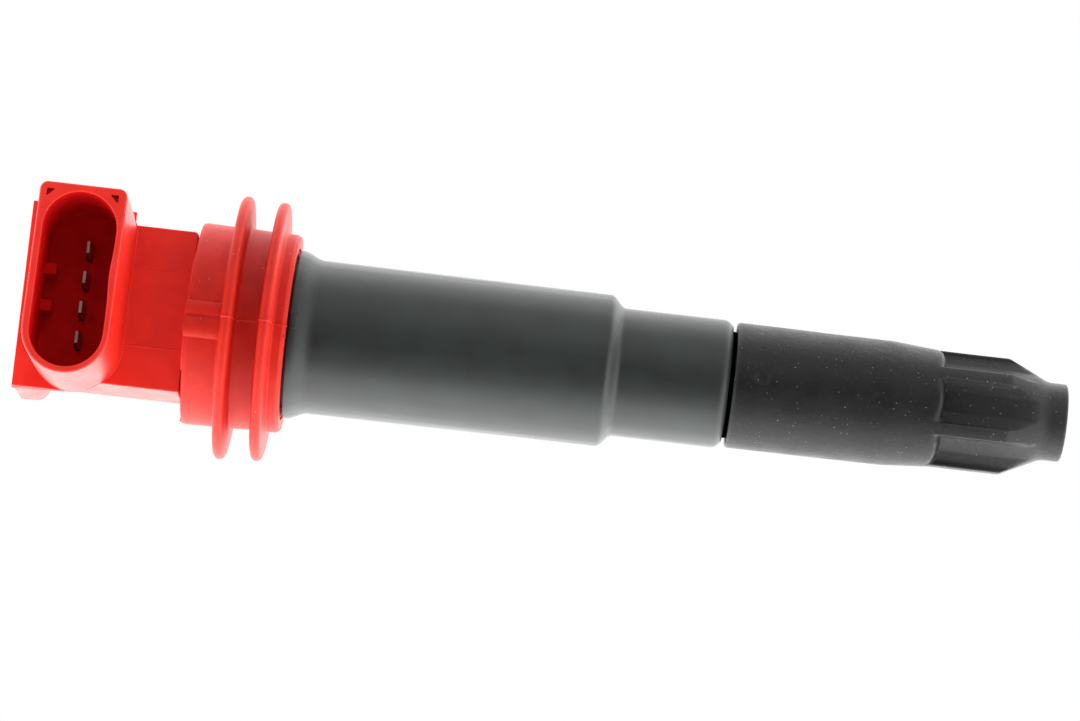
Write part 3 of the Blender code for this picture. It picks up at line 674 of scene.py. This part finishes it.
PARTING_ANGLE = -95.3
LIP_LOWER = 133.6
LIP_UPPER = 139.75
LIP_HALF_WIDTH = 0.85
COLLAR_RADIUS = 16.75 * MM
COLLAR_BORE = 14.4
COLLAR_TOP = 146.5
COLLAR_FOOT_EDGE = 130.45
VENT_LOBES = ((1.1, 1.35, 0.65), (-1.75, 1.9, 0.85))
VENT_BEYOND = 0.55
COLLAR_OUTSIDE = COLLAR_RADIUS * 0.93
NIB_COUNT = 46
NIB_TOP = 0.3 * MM
NIB_FOOT = 0.14 * MM


def vent_rib(across):
    """Height of the vent rib: two round lobes beside the parting line."""
    height = 0.0
    for centre, half, crown in VENT_LOBES:
        inside = np.clip(1 - ((across / MM - centre) / half) ** 2, 0, 1)
        height = np.maximum(height, crown * inside**0.6)
    return height * MM


def nibs(angle, tallest, seed):
    """Torn remains of flash along an edge, one every few millimetres."""
    random = np.random.default_rng(seed)
    total = 0.0
    for _ in range(NIB_COUNT):
        apart = turn_between(angle, random.uniform(-180, 180))
        width = random.uniform(0.004, 0.012)
        total = total + tallest * random.random() ** 2 * np.exp(-((apart / width) ** 2))
    return total


def collar_radial(angle, r, z):
    """Adds the vent rib, which runs from the upper lip to the collar's end."""
    rib = vent_rib(turn_between(angle, PARTING_ANGLE) * COLLAR_RADIUS)
    return np.where((r > COLLAR_OUTSIDE) & (z > up(LIP_UPPER)), np.maximum(r, COLLAR_RADIUS + rib), r)


def collar_relief(angle, r, z):
    """The flash along the mould's parting line, the vent rib's end, and the ragged ends."""
    across = turn_between(angle, PARTING_ANGLE) * COLLAR_RADIUS
    outside = r > COLLAR_OUTSIDE
    end_face = (z > up(COLLAR_TOP) - 0.05 * MM) & (r > COLLAR_RADIUS * 0.9)
    rib_end = VENT_BEYOND * vent_rib(across) * smoothstep((r - COLLAR_RADIUS * 0.9) / (0.5 * MM))
    wander = 0.05 * MM * np.sin(z / (1.7 * MM))
    flash = 0.17 * MM * np.exp(-(((across - wander) / (0.075 * MM)) ** 2))
    uneven = 0.025 * MM * np.sin(5 * angle + z / (4 * MM))
    low_edge = (z < up(COLLAR_FOOT_EDGE)) & (r > COLLAR_RADIUS * 0.9)
    top_edge = end_face & (r > COLLAR_RADIUS * 0.96)
    height = np.where(end_face, rib_end, 0.0) + np.where(outside, flash + uneven, 0.0)
    height += np.where(low_edge, nibs(angle, NIB_FOOT, 5), 0.0)
    return height + np.where(top_edge, nibs(angle, NIB_TOP, 9), 0.0)


def lip_corners(centre, tip_radius, base_width, body):
    """One sealing lip: broad at its root, thin and round at its tip."""
    tip, base = LIP_HALF_WIDTH, base_width / 2
    return [
        (body, centre - base, 0.4), (body + 1.2, centre - tip - 0.1, 0.9), (tip_radius, centre - tip, 0.82),
        (tip_radius, centre + tip, 0.82), (body + 1.2, centre + tip + 0.1, 0.9), (body, centre + base, 0.4),
    ]


def seal_collar():
    """The soft collar: a plain bore, two sealing lips, and a vent rib above them."""
    foot = height_of(COLLAR_LOW.z)
    corners = [(COLLAR_BORE, foot, 0.15), (16.2, foot, 0.25), (16.6, foot + 0.6, 0.4)]
    corners += lip_corners(LIP_LOWER, 21.65, 2.3, 16.6)
    corners += lip_corners(LIP_UPPER, COLLAR_HIGH.x / MM, 2.4, 16.75)
    corners += [(16.9, COLLAR_TOP, 0.65), (COLLAR_BORE, COLLAR_TOP, 0.2)]
    path = subdivide([(r * MM, up(h)) for r, h in filleted(corners)], 0.4 * MM)
    angles = angles_with(360, (-97 % 360, 14.4, 0.3), (PARTING_ANGLE % 360, 1.5, 0.1))
    collar = turned("silicone_collar", path, angles, red_silicone(), collar_radial, collar_relief)
    stand_in(collar, "seal_collar", "collar")


# ---- the head

CONNECTOR_HEIGHT = 164.6
CONNECTOR_FRONT = HEAD_LOW.y / MM
SHROUD_LEFT = -15.1
SHROUD_RIGHT = 15.8
SHROUD_HALF_HEIGHT = 7.1
SHROUD_MIDDLE = CONNECTOR_HEIGHT + 0.1
SHROUD_CORNER = 1.3
SHROUD_DRAFT = 0.6
ROOT_FILLET = 0.4
SOCKET_LEFT = -14.05
SOCKET_RIGHT = 14.6
SOCKET_HALF_HEIGHT = 5.95
SOCKET_WAIST = 0.28
SOCKET_FLOOR = -11.8
KEY_FRONT = -16.0
KEY_REACH = 1.9
KEY_HALF_WIDTH = 0.9
KEY_CENTRES = (-2.6, 3.5)
POCKET_LEG = 1.45
POCKET_DEPTH = 1.2
POCKET_INSET = 1.15
PLATE_FRONT = -10.0
PLATE_HALF_WIDTH = 15.35
FLANGE_BACK = -9.0
FLANGE_TILT = 0.45
FLANGE_LEAN = 0.45
HEAD_TOP = height_of(HEAD_HIGH.z)
TOP_STEP = 0.03
HEAD_BACK = 2.1
POST_BACK = 4.5
POST_RADIUS = 2.5
NECK_HALF_WIDTH = 13.5
NECK_FOOT = 146.8
NECK_CORNER = 0.4
BARREL_RADIUS = 14.0
BARREL_FOOT = 130.4
BARREL_TOP = 147.1
BARREL_ROOF = 1.9
BARREL_BORE = 12.3
SEAM_OFFSET = 6.65
SEAM_ENDS = (147.4, 157.2)
SEAM_HALF_WIDTH = 0.1
CAVITY_FRONT = -8.3
CAVITY_BACK = 9.0
LEAD_OPENING = ((-9.0, -7.0, 144.0), (9.0, 0.5, 149.5))
ARC_STEPS = 24
SIDE_STEPS = 12
CORNER_STEPS = 6


def shroud_ring(inset, y, fillet=0.0):
    """The connector's outer wall: round at -X and squared at +X, moved inwards by inset.
    Its foot side leans out towards the root, by the draft of the mould plus a fillet, and its
    round end by half that draft."""
    half_height = SHROUD_HALF_HEIGHT - inset
    right = SHROUD_RIGHT - inset
    corner = SHROUD_CORNER - inset
    round_x = SHROUD_LEFT + SHROUD_HALF_HEIGHT
    edge = right - corner
    points = arc_points(round_x, 0, half_height, 90, 270, ARC_STEPS)
    points += side_points((round_x, -half_height), (edge, -half_height), SIDE_STEPS)
    points += arc_points(edge, -half_height + corner, corner, -90, 0, CORNER_STEPS)
    points += side_points((right, -half_height + corner), (right, half_height - corner), SIDE_STEPS)
    points += arc_points(edge, half_height - corner, corner, 0, 90, CORNER_STEPS)
    points += side_points((edge, half_height), (round_x, half_height), SIDE_STEPS)
    draft = SHROUD_DRAFT * (y - CONNECTOR_FRONT) / (PLATE_FRONT - CONNECTOR_FRONT)
    ring = []
    for x, z in points:
        down = max(0.0, -z / half_height) ** 1.5 * float(smoothstep((NECK_HALF_WIDTH - abs(x)) / 0.7))
        left = max(0.0, (round_x - x) / half_height) ** 1.5
        x -= draft / 2 * left
        z -= (draft + fillet) * down
        ring.append((x * MM, y * MM, up(SHROUD_MIDDLE + z)))
    return ring


def socket_ring(inset, y):
    """The socket's racetrack wall, with the same number of points as the outer wall."""
    radius = SOCKET_HALF_HEIGHT - inset
    left, right = SOCKET_LEFT + SOCKET_HALF_HEIGHT, SOCKET_RIGHT - SOCKET_HALF_HEIGHT
    points = arc_points(left, 0, radius, 90, 270, ARC_STEPS)
    points += side_points((left, -radius), (right, -radius), SIDE_STEPS)
    points += arc_points(right, 0, radius, -90, -45, CORNER_STEPS)
    points += arc_points(right, 0, radius, -45, 45, SIDE_STEPS)
    points += arc_points(right, 0, radius, 45, 90, CORNER_STEPS)
    points += side_points((right, radius), (left, radius), SIDE_STEPS)
    ring = []
    for x, z in points:
        pinch = SOCKET_WAIST * float(np.exp(-(((x - 1.5) / 3.2) ** 2))) if z < 0 else 0.0
        ring.append((x * MM, y * MM, up(CONNECTOR_HEIGHT + z + pinch)))
    return ring


def quarter():
    """Sine and cosine of the steps of a quarter turn, leaving out its start."""
    turns = [pi / 2 * k / CORNER_STEPS for k in range(1, CORNER_STEPS + 1)]
    return [(sin(turn), cos(turn)) for turn in turns]


def connector_shroud(finish):
    """The connector's wall: fillet at its root, rounded rim, socket, and a rounded socket floor."""
    rim, mouth, floor, sunk, steps = 0.4, 0.3, 0.5, 0.02, 6
    root, front = ROOT_FILLET, CONNECTOR_FRONT
    rings = [shroud_ring(0.0, PLATE_FRONT + 0.6, root), shroud_ring(0.0, PLATE_FRONT + sunk, root)]
    rings += [shroud_ring(0.0, PLATE_FRONT + sunk - root * (1 - c), root * (1 - s)) for s, c in quarter()]
    high = PLATE_FRONT + sunk - root
    low = front + rim
    rings += [shroud_ring(0.0, high + (low - high) * k / steps) for k in range(1, steps + 1)]
    rings += [shroud_ring(rim * (1 - c), front + rim * (1 - s)) for s, c in quarter()]
    rings.append(socket_ring(-mouth, front))
    rings += [socket_ring(-mouth * (1 - s), front + mouth * (1 - c)) for s, c in quarter()]
    low, deep = front + mouth, SOCKET_FLOOR - floor
    rings += [socket_ring(0.0, low + (deep - low) * k / steps) for k in range(1, steps + 1)]
    rings += [socket_ring(floor * (1 - c), deep + floor * s) for s, c in quarter()]
    return lofted("connector_shroud", rings, finish)


def prism(name, outline, front, back, finish, bevel, back_outline=None):
    """A solid along Y between an (x, height) outline and the same or another outline at its back,
    with its edges rounded."""
    bm = bmesh.new()
    near = [bm.verts.new((x * MM, front * MM, up(z))) for x, z in outline]
    far = [bm.verts.new((x * MM, back * MM, up(z))) for x, z in back_outline or outline]
    bm.faces.new(near)
    bm.faces.new(far)
    for i in range(len(near)):
        bm.faces.new((near[i - 1], near[i], far[i], far[i - 1]))
    bmesh.ops.recalc_face_normals(bm, faces=bm.faces)
    sharp = [e for e in bm.edges if e.calc_face_angle(0) > radians(20)]
    bmesh.ops.bevel(
        bm, geom=sharp, offset=bevel * MM, segments=4, profile=0.5, affect="EDGES", clamp_overlap=True,
    )
    return placed(name, bm, finish)


def head_block(finish):
    """The box that holds the electronics, cut off at the foot corner beside the collar."""
    half, cut = NECK_HALF_WIDTH, NECK_CORNER
    outline = [(-half, NECK_FOOT), (half - cut, NECK_FOOT), (half, NECK_FOOT + cut)]
    outline += [(half, HEAD_TOP), (-half, HEAD_TOP)]
    return prism("head_moulding", outline, PLATE_FRONT, HEAD_BACK, finish, bevel=0.25)


def head_flange(finish):
    """The thin flange round the connector's root. At -X it follows the connector's round end, and
    its corner at the head's top is wider at the back."""
    foot = SHROUD_MIDDLE - SHROUD_HALF_HEIGHT - 0.25
    left, right = -PLATE_HALF_WIDTH, SHROUD_RIGHT - 0.15
    centre = SHROUD_LEFT + SHROUD_HALF_HEIGHT
    top = HEAD_TOP + TOP_STEP
    outline = [(left, top)] + arc_points(centre, SHROUD_MIDDLE, centre - left, 180, 270, 16)
    outline += [(centre, foot), (right, foot), (right, top + FLANGE_TILT)]
    back = [(left - FLANGE_LEAN, top)] + outline[1:]
    return prism("head_flange", outline, PLATE_FRONT, FLANGE_BACK, finish, bevel=0.15, back_outline=back)


def back_post(side, finish):
    """A post behind a corner of the flange: square at the head's top, round at its foot."""
    x = side * (PLATE_HALF_WIDTH - POST_RADIUS)
    foot, top = HEAD_TOP - POST_RADIUS, HEAD_TOP - TOP_STEP
    outline = [(x - POST_RADIUS, top)] + arc_points(x, foot, POST_RADIUS, 180, 360, 16)
    outline += [(x + POST_RADIUS, foot), (x + POST_RADIUS, top)]
    return prism(f"post_{side}", outline, FLANGE_BACK - 0.6, POST_BACK, finish, bevel=0.35)


def head_barrel(finish):
    """The round foot of the head, open below, that fits inside the collar."""
    roof, hole = BARREL_TOP - BARREL_ROOF, 1.0
    corners = [
        (BARREL_BORE, BARREL_FOOT, 0.1), (BARREL_RADIUS, BARREL_FOOT, 0.2),
        (BARREL_RADIUS, BARREL_TOP, 0.3), (hole, BARREL_TOP, 0), (hole, roof, 0), (BARREL_BORE, roof, 0.3),
    ]
    path = [(r * MM, up(h)) for r, h in filleted(corners, 3)]
    barrel = turned("head_barrel", path, even_angles(96), finish)
    rings = []
    for height in (roof + 0.1, BARREL_TOP - 0.1):
        rings.append([(x * MM, y * MM, up(height)) for x, y in arc_points(0, 0, 1.5, 0, 360, 16)])
    boolean(barrel, lofted("barrel_plug", rings, finish), "UNION")
    return barrel


def corner_pocket(side):
    """A small triangular pocket in a squared corner of the connector's rim."""
    x = SHROUD_RIGHT - POCKET_INSET
    inset = POCKET_INSET if side > 0 else POCKET_INSET + 0.2
    z = SHROUD_MIDDLE + side * (SHROUD_HALF_HEIGHT - inset)
    path = filleted([(x, z, 0.12), (x - POCKET_LEG, z, 0.12), (x, z - side * POCKET_LEG, 0.12)], 3)
    rings = []
    for y in (CONNECTOR_FRONT - 1, CONNECTOR_FRONT + POCKET_DEPTH):
        rings.append([(u * MM, y * MM, up(v)) for u, v in path])
    return lofted(f"pocket_{side}", rings, None)


def head_cuts():
    """The space for the board and resin, the leads' opening, the terminals' slots and the pockets."""
    low, high, gap = POTTING_LOW, POTTING_HIGH, CLEARANCE
    cavity_low = (low.x - gap, CAVITY_FRONT * MM, low.z - gap)
    cavity_high = (high.x + gap, CAVITY_BACK * MM, high.z + gap)
    leads_low, leads_high = ((x * MM, y * MM, up(z)) for x, y, z in LEAD_OPENING)
    cuts = [box("cavity", cavity_low, cavity_high, None), box("leads", leads_low, leads_high, None)]
    slack = 0.02 * MM
    for index in range(4):
        a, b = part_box(f"terminal_{index + 1}")
        slot_low = (a.x - slack, (SOCKET_FLOOR - 0.7) * MM, b.z - 0.8 * MM - slack)
        cuts.append(box("slot", slot_low, (b.x + slack, -7.5 * MM, b.z + slack), None))
    return cuts + [corner_pocket(side) for side in (-1, 1)]


def head_details(finish):
    """The keys inside the connector, and the fine lines where the mould's parts met."""
    lip = CONNECTOR_HEIGHT + SOCKET_HALF_HEIGHT
    details = []
    for x in KEY_CENTRES:
        low = ((x - KEY_HALF_WIDTH) * MM, KEY_FRONT * MM, up(lip - KEY_REACH))
        high = ((x + KEY_HALF_WIDTH) * MM, (PLATE_FRONT + 0.2) * MM, up(lip + 0.6))
        details.append(box("key", low, high, finish, bevel=0.2 * MM))
    for x in (-SEAM_OFFSET, SEAM_OFFSET):
        low = ((x - SEAM_HALF_WIDTH) * MM, (PLATE_FRONT - 0.1) * MM, up(SEAM_ENDS[0]))
        high = ((x + SEAM_HALF_WIDTH) * MM, (PLATE_FRONT + 0.4) * MM, up(SEAM_ENDS[1]))
        details.append(box("seam", low, high, finish, bevel=0.05 * MM))
    return details


def shade_socket_faces(mesh):
    """Gives the faces inside the connector the darker, duller copy of the nylon, as painted shade."""
    mesh.materials.append(socket_painted_shade())
    left, right = SOCKET_LEFT + SOCKET_HALF_HEIGHT, SOCKET_RIGHT - SOCKET_HALF_HEIGHT
    for face in mesh.polygons:
        x, y = face.center.x / MM, face.center.y / MM
        off_axis = hypot(x - min(max(x, left), right), height_of(face.center.z) - CONNECTOR_HEIGHT)
        if off_axis < SOCKET_HALF_HEIGHT + 0.1 and CONNECTOR_FRONT + 0.4 < y < PLATE_FRONT:
            face.material_index = 1


def head_housing():
    """The red head as one moulding: box, flange, connector, posts and barrel."""
    finish = red_plastic()
    head = head_block(finish)
    additions = [head_flange(finish), connector_shroud(finish), head_barrel(finish)]
    for tool in additions + [back_post(side, finish) for side in (-1, 1)]:
        boolean(head, tool, "UNION")
    for tool in head_cuts():
        boolean(head, tool, "DIFFERENCE")
    for tool in head_details(finish):
        boolean(head, tool, "UNION")
    # Painted shade: the faces inside the connector get the darker copy of the red nylon.
    shade_socket_faces(head.data)
    head.data.shade_smooth()
    head.data.set_sharp_from_angle(angle=radians(35))
    even = head.modifiers.new("even_normals", "WEIGHTED_NORMAL")
    even.keep_sharp = True
    even.weight = 100
    stand_in(head, "head_housing", "coil_body")


def head_potting():
    """The resin that closes the back: it creeps up the walls a little, and dips over the board."""
    margin = CLEARANCE * 0.9
    middle = (POTTING_LOW + POTTING_HIGH) / 2
    half = (POTTING_HIGH - POTTING_LOW) / 2 + Vector((margin, 0, margin))
    bm = bmesh.new()
    bmesh.ops.create_grid(bm, x_segments=60, y_segments=60, size=1.0)
    for vertex in bm.verts:
        x, z = half.x * sin(pi / 2 * vertex.co.x), half.z * sin(pi / 2 * vertex.co.y)
        wall = min(half.x - abs(x), half.z - abs(z))
        dip = 0.55 - 0.45 * np.exp(-wall / (0.5 * MM)) + 0.06 * sin(x / (5 * MM)) * sin(z / (7 * MM))
        vertex.co = (middle.x + x, POTTING_HIGH.y - dip * MM, middle.z + z)
    pushed = bmesh.ops.extrude_face_region(bm, geom=bm.faces[:])["geom"]
    for vertex in pushed:
        if isinstance(vertex, bmesh.types.BMVert):
            vertex.co.y = POTTING_LOW.y
    bmesh.ops.recalc_face_normals(bm, faces=bm.faces)
    resin = placed("resin_fill", bm, moulded("cast_resin", (0.012, 0.011, 0.01), 0.16, size=1.2))
    stand_in(resin, "head_potting", "coil_body")


# ---- tower and spring

TOWER_RADIUS = 6.8
TOWER_RINGS = (3.5, 7.5)
TOWER_BORE = 3.1
TERMINAL_BORE = 4.2
TERMINAL_SEAT = 70.6


def high_voltage_tower():
    """The insulator that the boot is pushed on: two grip rings, and a flange inside the sleeve."""
    foot, top = height_of(TOWER_LOW.z), height_of(TOWER_HIGH.z)
    radius, flange = TOWER_RADIUS, TOWER_HIGH.x / MM
    corners = [(TOWER_BORE, foot, 0.2), (radius - 0.6, foot, 0.3), (radius, foot + 0.9, 0.4)]
    for ring in TOWER_RINGS:
        middle = foot + ring
        corners += [(radius, middle - 0.5, 0.2), (radius + 0.18, middle, 0.2), (radius, middle + 0.5, 0.2)]
    corners += [(radius, TOWER_FLANGE, 0.1), (flange, TOWER_FLANGE, 0.2), (flange, top, 0.2)]
    corners += [(TERMINAL_BORE, top, 0.2), (TERMINAL_BORE, TERMINAL_SEAT, 0.1)]
    corners.append((TOWER_BORE, TERMINAL_SEAT, 0.1))
    path = subdivide([(r * MM, up(h)) for r, h in filleted(corners)], 1.0 * MM)
    finish = moulded("tower_plastic", (0.03, 0.032, 0.033), 0.4)
    tower = turned("insulator_tower", path, even_angles(128), finish)
    stand_in(tower, "high_voltage_tower", "coil_body")


def contact_spring():
    """Drawn wire, close-wound at both ends; it shortens towards its fixed upper end."""
    wire = 0.3 * MM
    radius = SPRING_HIGH.x - wire
    low, high = SPRING_LOW.z + wire, SPRING_HIGH.z - wire
    turns, per_turn, sides = 14, 40, 12
    closed = 1.6
    turn = np.arange(turns * per_turn + 1) / per_turn
    pitch = 0.25 + 0.75 * smoothstep(turn / closed) * smoothstep((turns - turn) / closed)
    share = np.cumsum(pitch) - pitch[0]
    heights = low + (high - low) * share / share[-1]
    rings = []
    for a, z in zip((2 * pi * turn).tolist(), heights.tolist()):
        ring = arc_points(radius, z, wire, 0, 360, sides)
        rings.append([(r * cos(a), r * sin(a), height) for r, height in ring])
    spring = lofted("contact_spring_wire", rings, metal("spring_wire", (0.55, 0.55, 0.56), 0.3, 0.1))
    stand_in(spring, "contact_spring", "coil_body")
    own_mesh(spring)


# ---- CAD nodes that stay


def dress(node, finish, bevel=0.0):
    """A better material, and finer edges, for a CAD node whose shape is right."""
    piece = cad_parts[node]
    piece.data.materials.clear()
    piece.data.materials.append(finish)
    if bevel:
        edges = piece.modifiers.new("edges", "BEVEL")
        edges.width = bevel
        edges.segments = 2
        edges.limit_method = "ANGLE"


def inner_parts():
    """Finishes for the terminals and for everything inside the coil."""
    # Painted reflection: the tin's colour has a red cast, standing for the light the red socket throws on
    # the terminals.
    tin_with_red_reflection = metal("tin_plate_red_reflection", (0.44, 0.29, 0.26), 0.4, 0.15, stretch=(1, 0.15, 1))
    steel = metal("core_steel", (0.36, 0.37, 0.39), 0.4, 0.3, stretch=(1, 1, 0.1))
    alloy = metal("spreader_alloy", (0.7, 0.71, 0.72), 0.35, 0.3, stretch=(1, 1, 0.1))
    magnet = metal("magnet_metal", (0.09, 0.09, 0.1), 0.5, 0.3)
    pale = moulded("bobbin_plastic", (0.6, 0.56, 0.45), 0.45)
    chip = moulded("chip_case", (0.025, 0.025, 0.027), 0.55, size=0.15)
    ceramic = moulded("board_ceramic", (0.78, 0.78, 0.74), 0.5, size=0.1)
    glaze = moulded("glazed_ceramic", (0.72, 0.7, 0.62), 0.25, size=0.3)
    cushion = moulded("cushion_silicone", (0.6, 0.04, 0.02), 0.55)
    thick = wound("primary_wire", (0.62, 0.24, 0.08), 0.5)
    fine = wound("secondary_wire", (0.5, 0.16, 0.05), 0.2)
    for index in range(4):
        dress(f"terminal_{index + 1}", tin_with_red_reflection, bevel=0.16 * MM)
    dressed = (
        (tin_with_red_reflection, ["high_voltage_terminal"]),
        (steel, ["laminated_core", "flux_shield"]),
        (alloy, ["heat_spreader"]),
        (magnet, ["core_magnet_top", "core_magnet_bottom"]),
        (cushion, ["core_cushion_top", "core_cushion_bottom"]),
        (pale, ["primary_bobbin", "secondary_bobbin"]),
        (chip, ["power_transistor", "control_chip", "high_voltage_diode"]),
        (ceramic, ["driver_board"]),
        (glaze, ["noise_capacitor", "suppression_resistor"]),
        (thick, ["primary_winding", "primary_lead_1", "primary_lead_2", "secondary_lead"]),
        (fine, ["secondary_winding"]),
    )
    for finish, nodes in dressed:
        for node in nodes:
            dress(node, finish)


# ---- light table, light and camera

# Strength of the table's glow on its far and near sides, and where it stops changing
TABLE_FAR = 2.3
TABLE_NEAR = 3.8
TABLE_FADE = 0.08
TABLE_HALF = 0.6
# Strength of the light round the coil: dark straight above, bright beyond a cone about that, and
# a factor that grows from the far side to the near side
SKY_DARK = 0.12
SKY_BRIGHT = 2.2
SKY_CONE = 0.45
SKY_FAR = 0.5
SKY_NEAR = 1.6
SKY_SIDE = 0.9
SKY_TILT = radians(8)
DARKEST = TOWARDS_VIEWER * cos(SKY_TILT) + ACROSS * sin(SKY_TILT)


def table_glow():
    """Plain white to the camera, a glow to everything else, and clear from behind."""
    material = bpy.data.materials.new("light_table")
    material.use_nodes = True
    tree = material.node_tree
    tree.nodes.clear()
    geometry = tree.nodes.new("ShaderNodeNewGeometry")
    to_camera = tree.nodes.new("ShaderNodeLightPath").outputs["Is Camera Ray"]
    across = dot_product(tree, geometry.outputs["Position"], ACROSS)
    glow = tree.nodes.new("ShaderNodeEmission")
    strength = map_range(tree, across, -TABLE_FADE, TABLE_FADE, TABLE_FAR, TABLE_NEAR)
    tree.links.new(strength, glow.inputs["Strength"])
    seen = tree.nodes.new("ShaderNodeEmission")
    clear = tree.nodes.new("ShaderNodeBsdfTransparent")
    front = mix_shaders(tree, to_camera, glow.outputs[0], seen.outputs[0])
    both = mix_shaders(tree, geometry.outputs["Backfacing"], front, clear.outputs[0])
    tree.links.new(both, tree.nodes.new("ShaderNodeOutputMaterial").inputs[0])
    return material


def light_table():
    """A pale glowing table under the coil; it is clear from below, so that the back can be seen."""
    centre = Vector((0, 0, up(VIEW_HEIGHT))) - TOWARDS_VIEWER * (COLLAR_HIGH.x + CLEARANCE)
    along, across = Vector((0, 0, -TABLE_HALF)), ACROSS * TABLE_HALF
    corners = [centre + along * a + across * b for a, b in ((-1, 1), (1, 1), (1, -1), (-1, -1))]
    table = build("light_table", corners, [(0, 1, 2, 3)], table_glow())
    if table.data.polygons[0].normal.dot(TOWARDS_VIEWER) < 0:
        table.data.flip_normals()


def studio():
    """White all round, darker straight above the table, and stronger from the near side."""
    world = bpy.data.worlds.new("studio")
    bpy.context.scene.world = world
    world.use_nodes = True
    tree = world.node_tree
    tree.nodes.clear()
    direction = tree.nodes.new("ShaderNodeTexCoord").outputs["Generated"]
    above = dot_product(tree, direction, DARKEST)
    beside = dot_product(tree, direction, ACROSS)
    strength = tree.nodes.new("ShaderNodeMath")
    strength.operation = "MULTIPLY"
    overhead = map_range(tree, above, SKY_CONE, 1.0, SKY_BRIGHT, SKY_DARK, smooth=True)
    near_side = map_range(tree, beside, -SKY_SIDE, SKY_SIDE, SKY_FAR, SKY_NEAR, smooth=True)
    tree.links.new(overhead, strength.inputs[0])
    tree.links.new(near_side, strength.inputs[1])
    light = tree.nodes.new("ShaderNodeBackground")
    seen = tree.nodes.new("ShaderNodeBackground")
    for background in (light, seen):
        background.inputs["Color"].default_value = (1, 1, 1, 1)
    tree.links.new(strength.outputs[0], light.inputs["Strength"])
    to_camera = tree.nodes.new("ShaderNodeLightPath").outputs["Is Camera Ray"]
    both = mix_shaders(tree, to_camera, light.outputs[0], seen.outputs[0])
    tree.links.new(both, tree.nodes.new("ShaderNodeOutputWorld").inputs[0])


def camera():
    """A long lens above the coil, turned so that the coil lies slightly askew."""
    lens = bpy.data.cameras.new("camera")
    lens.lens = LENS
    lens.clip_start = 0.01
    view = bpy.data.objects.new("camera", lens)
    bpy.context.scene.collection.objects.link(view)
    picture_up = Vector((0, 0, 1)) * sin(VIEW_SLANT) - ACROSS * cos(VIEW_SLANT)
    picture_right = -Vector((0, 0, 1)) * cos(VIEW_SLANT) - ACROSS * sin(VIEW_SLANT)
    place = Vector((0, 0, up(VIEW_HEIGHT))) + TOWARDS_VIEWER * VIEW_DISTANCE + ACROSS * VIEW_SHIFT
    turn = Matrix((picture_right, picture_up, TOWARDS_VIEWER)).transposed().to_4x4()
    view.matrix_world = Matrix.Translation(place) @ turn
    bpy.context.scene.camera = view
    bpy.context.scene.view_settings.view_transform = "Standard"


plug_boot()
outer_sleeve()
seal_collar()
head_housing()
head_potting()
high_voltage_tower()
contact_spring()
inner_parts()
light_table()
studio()
camera()
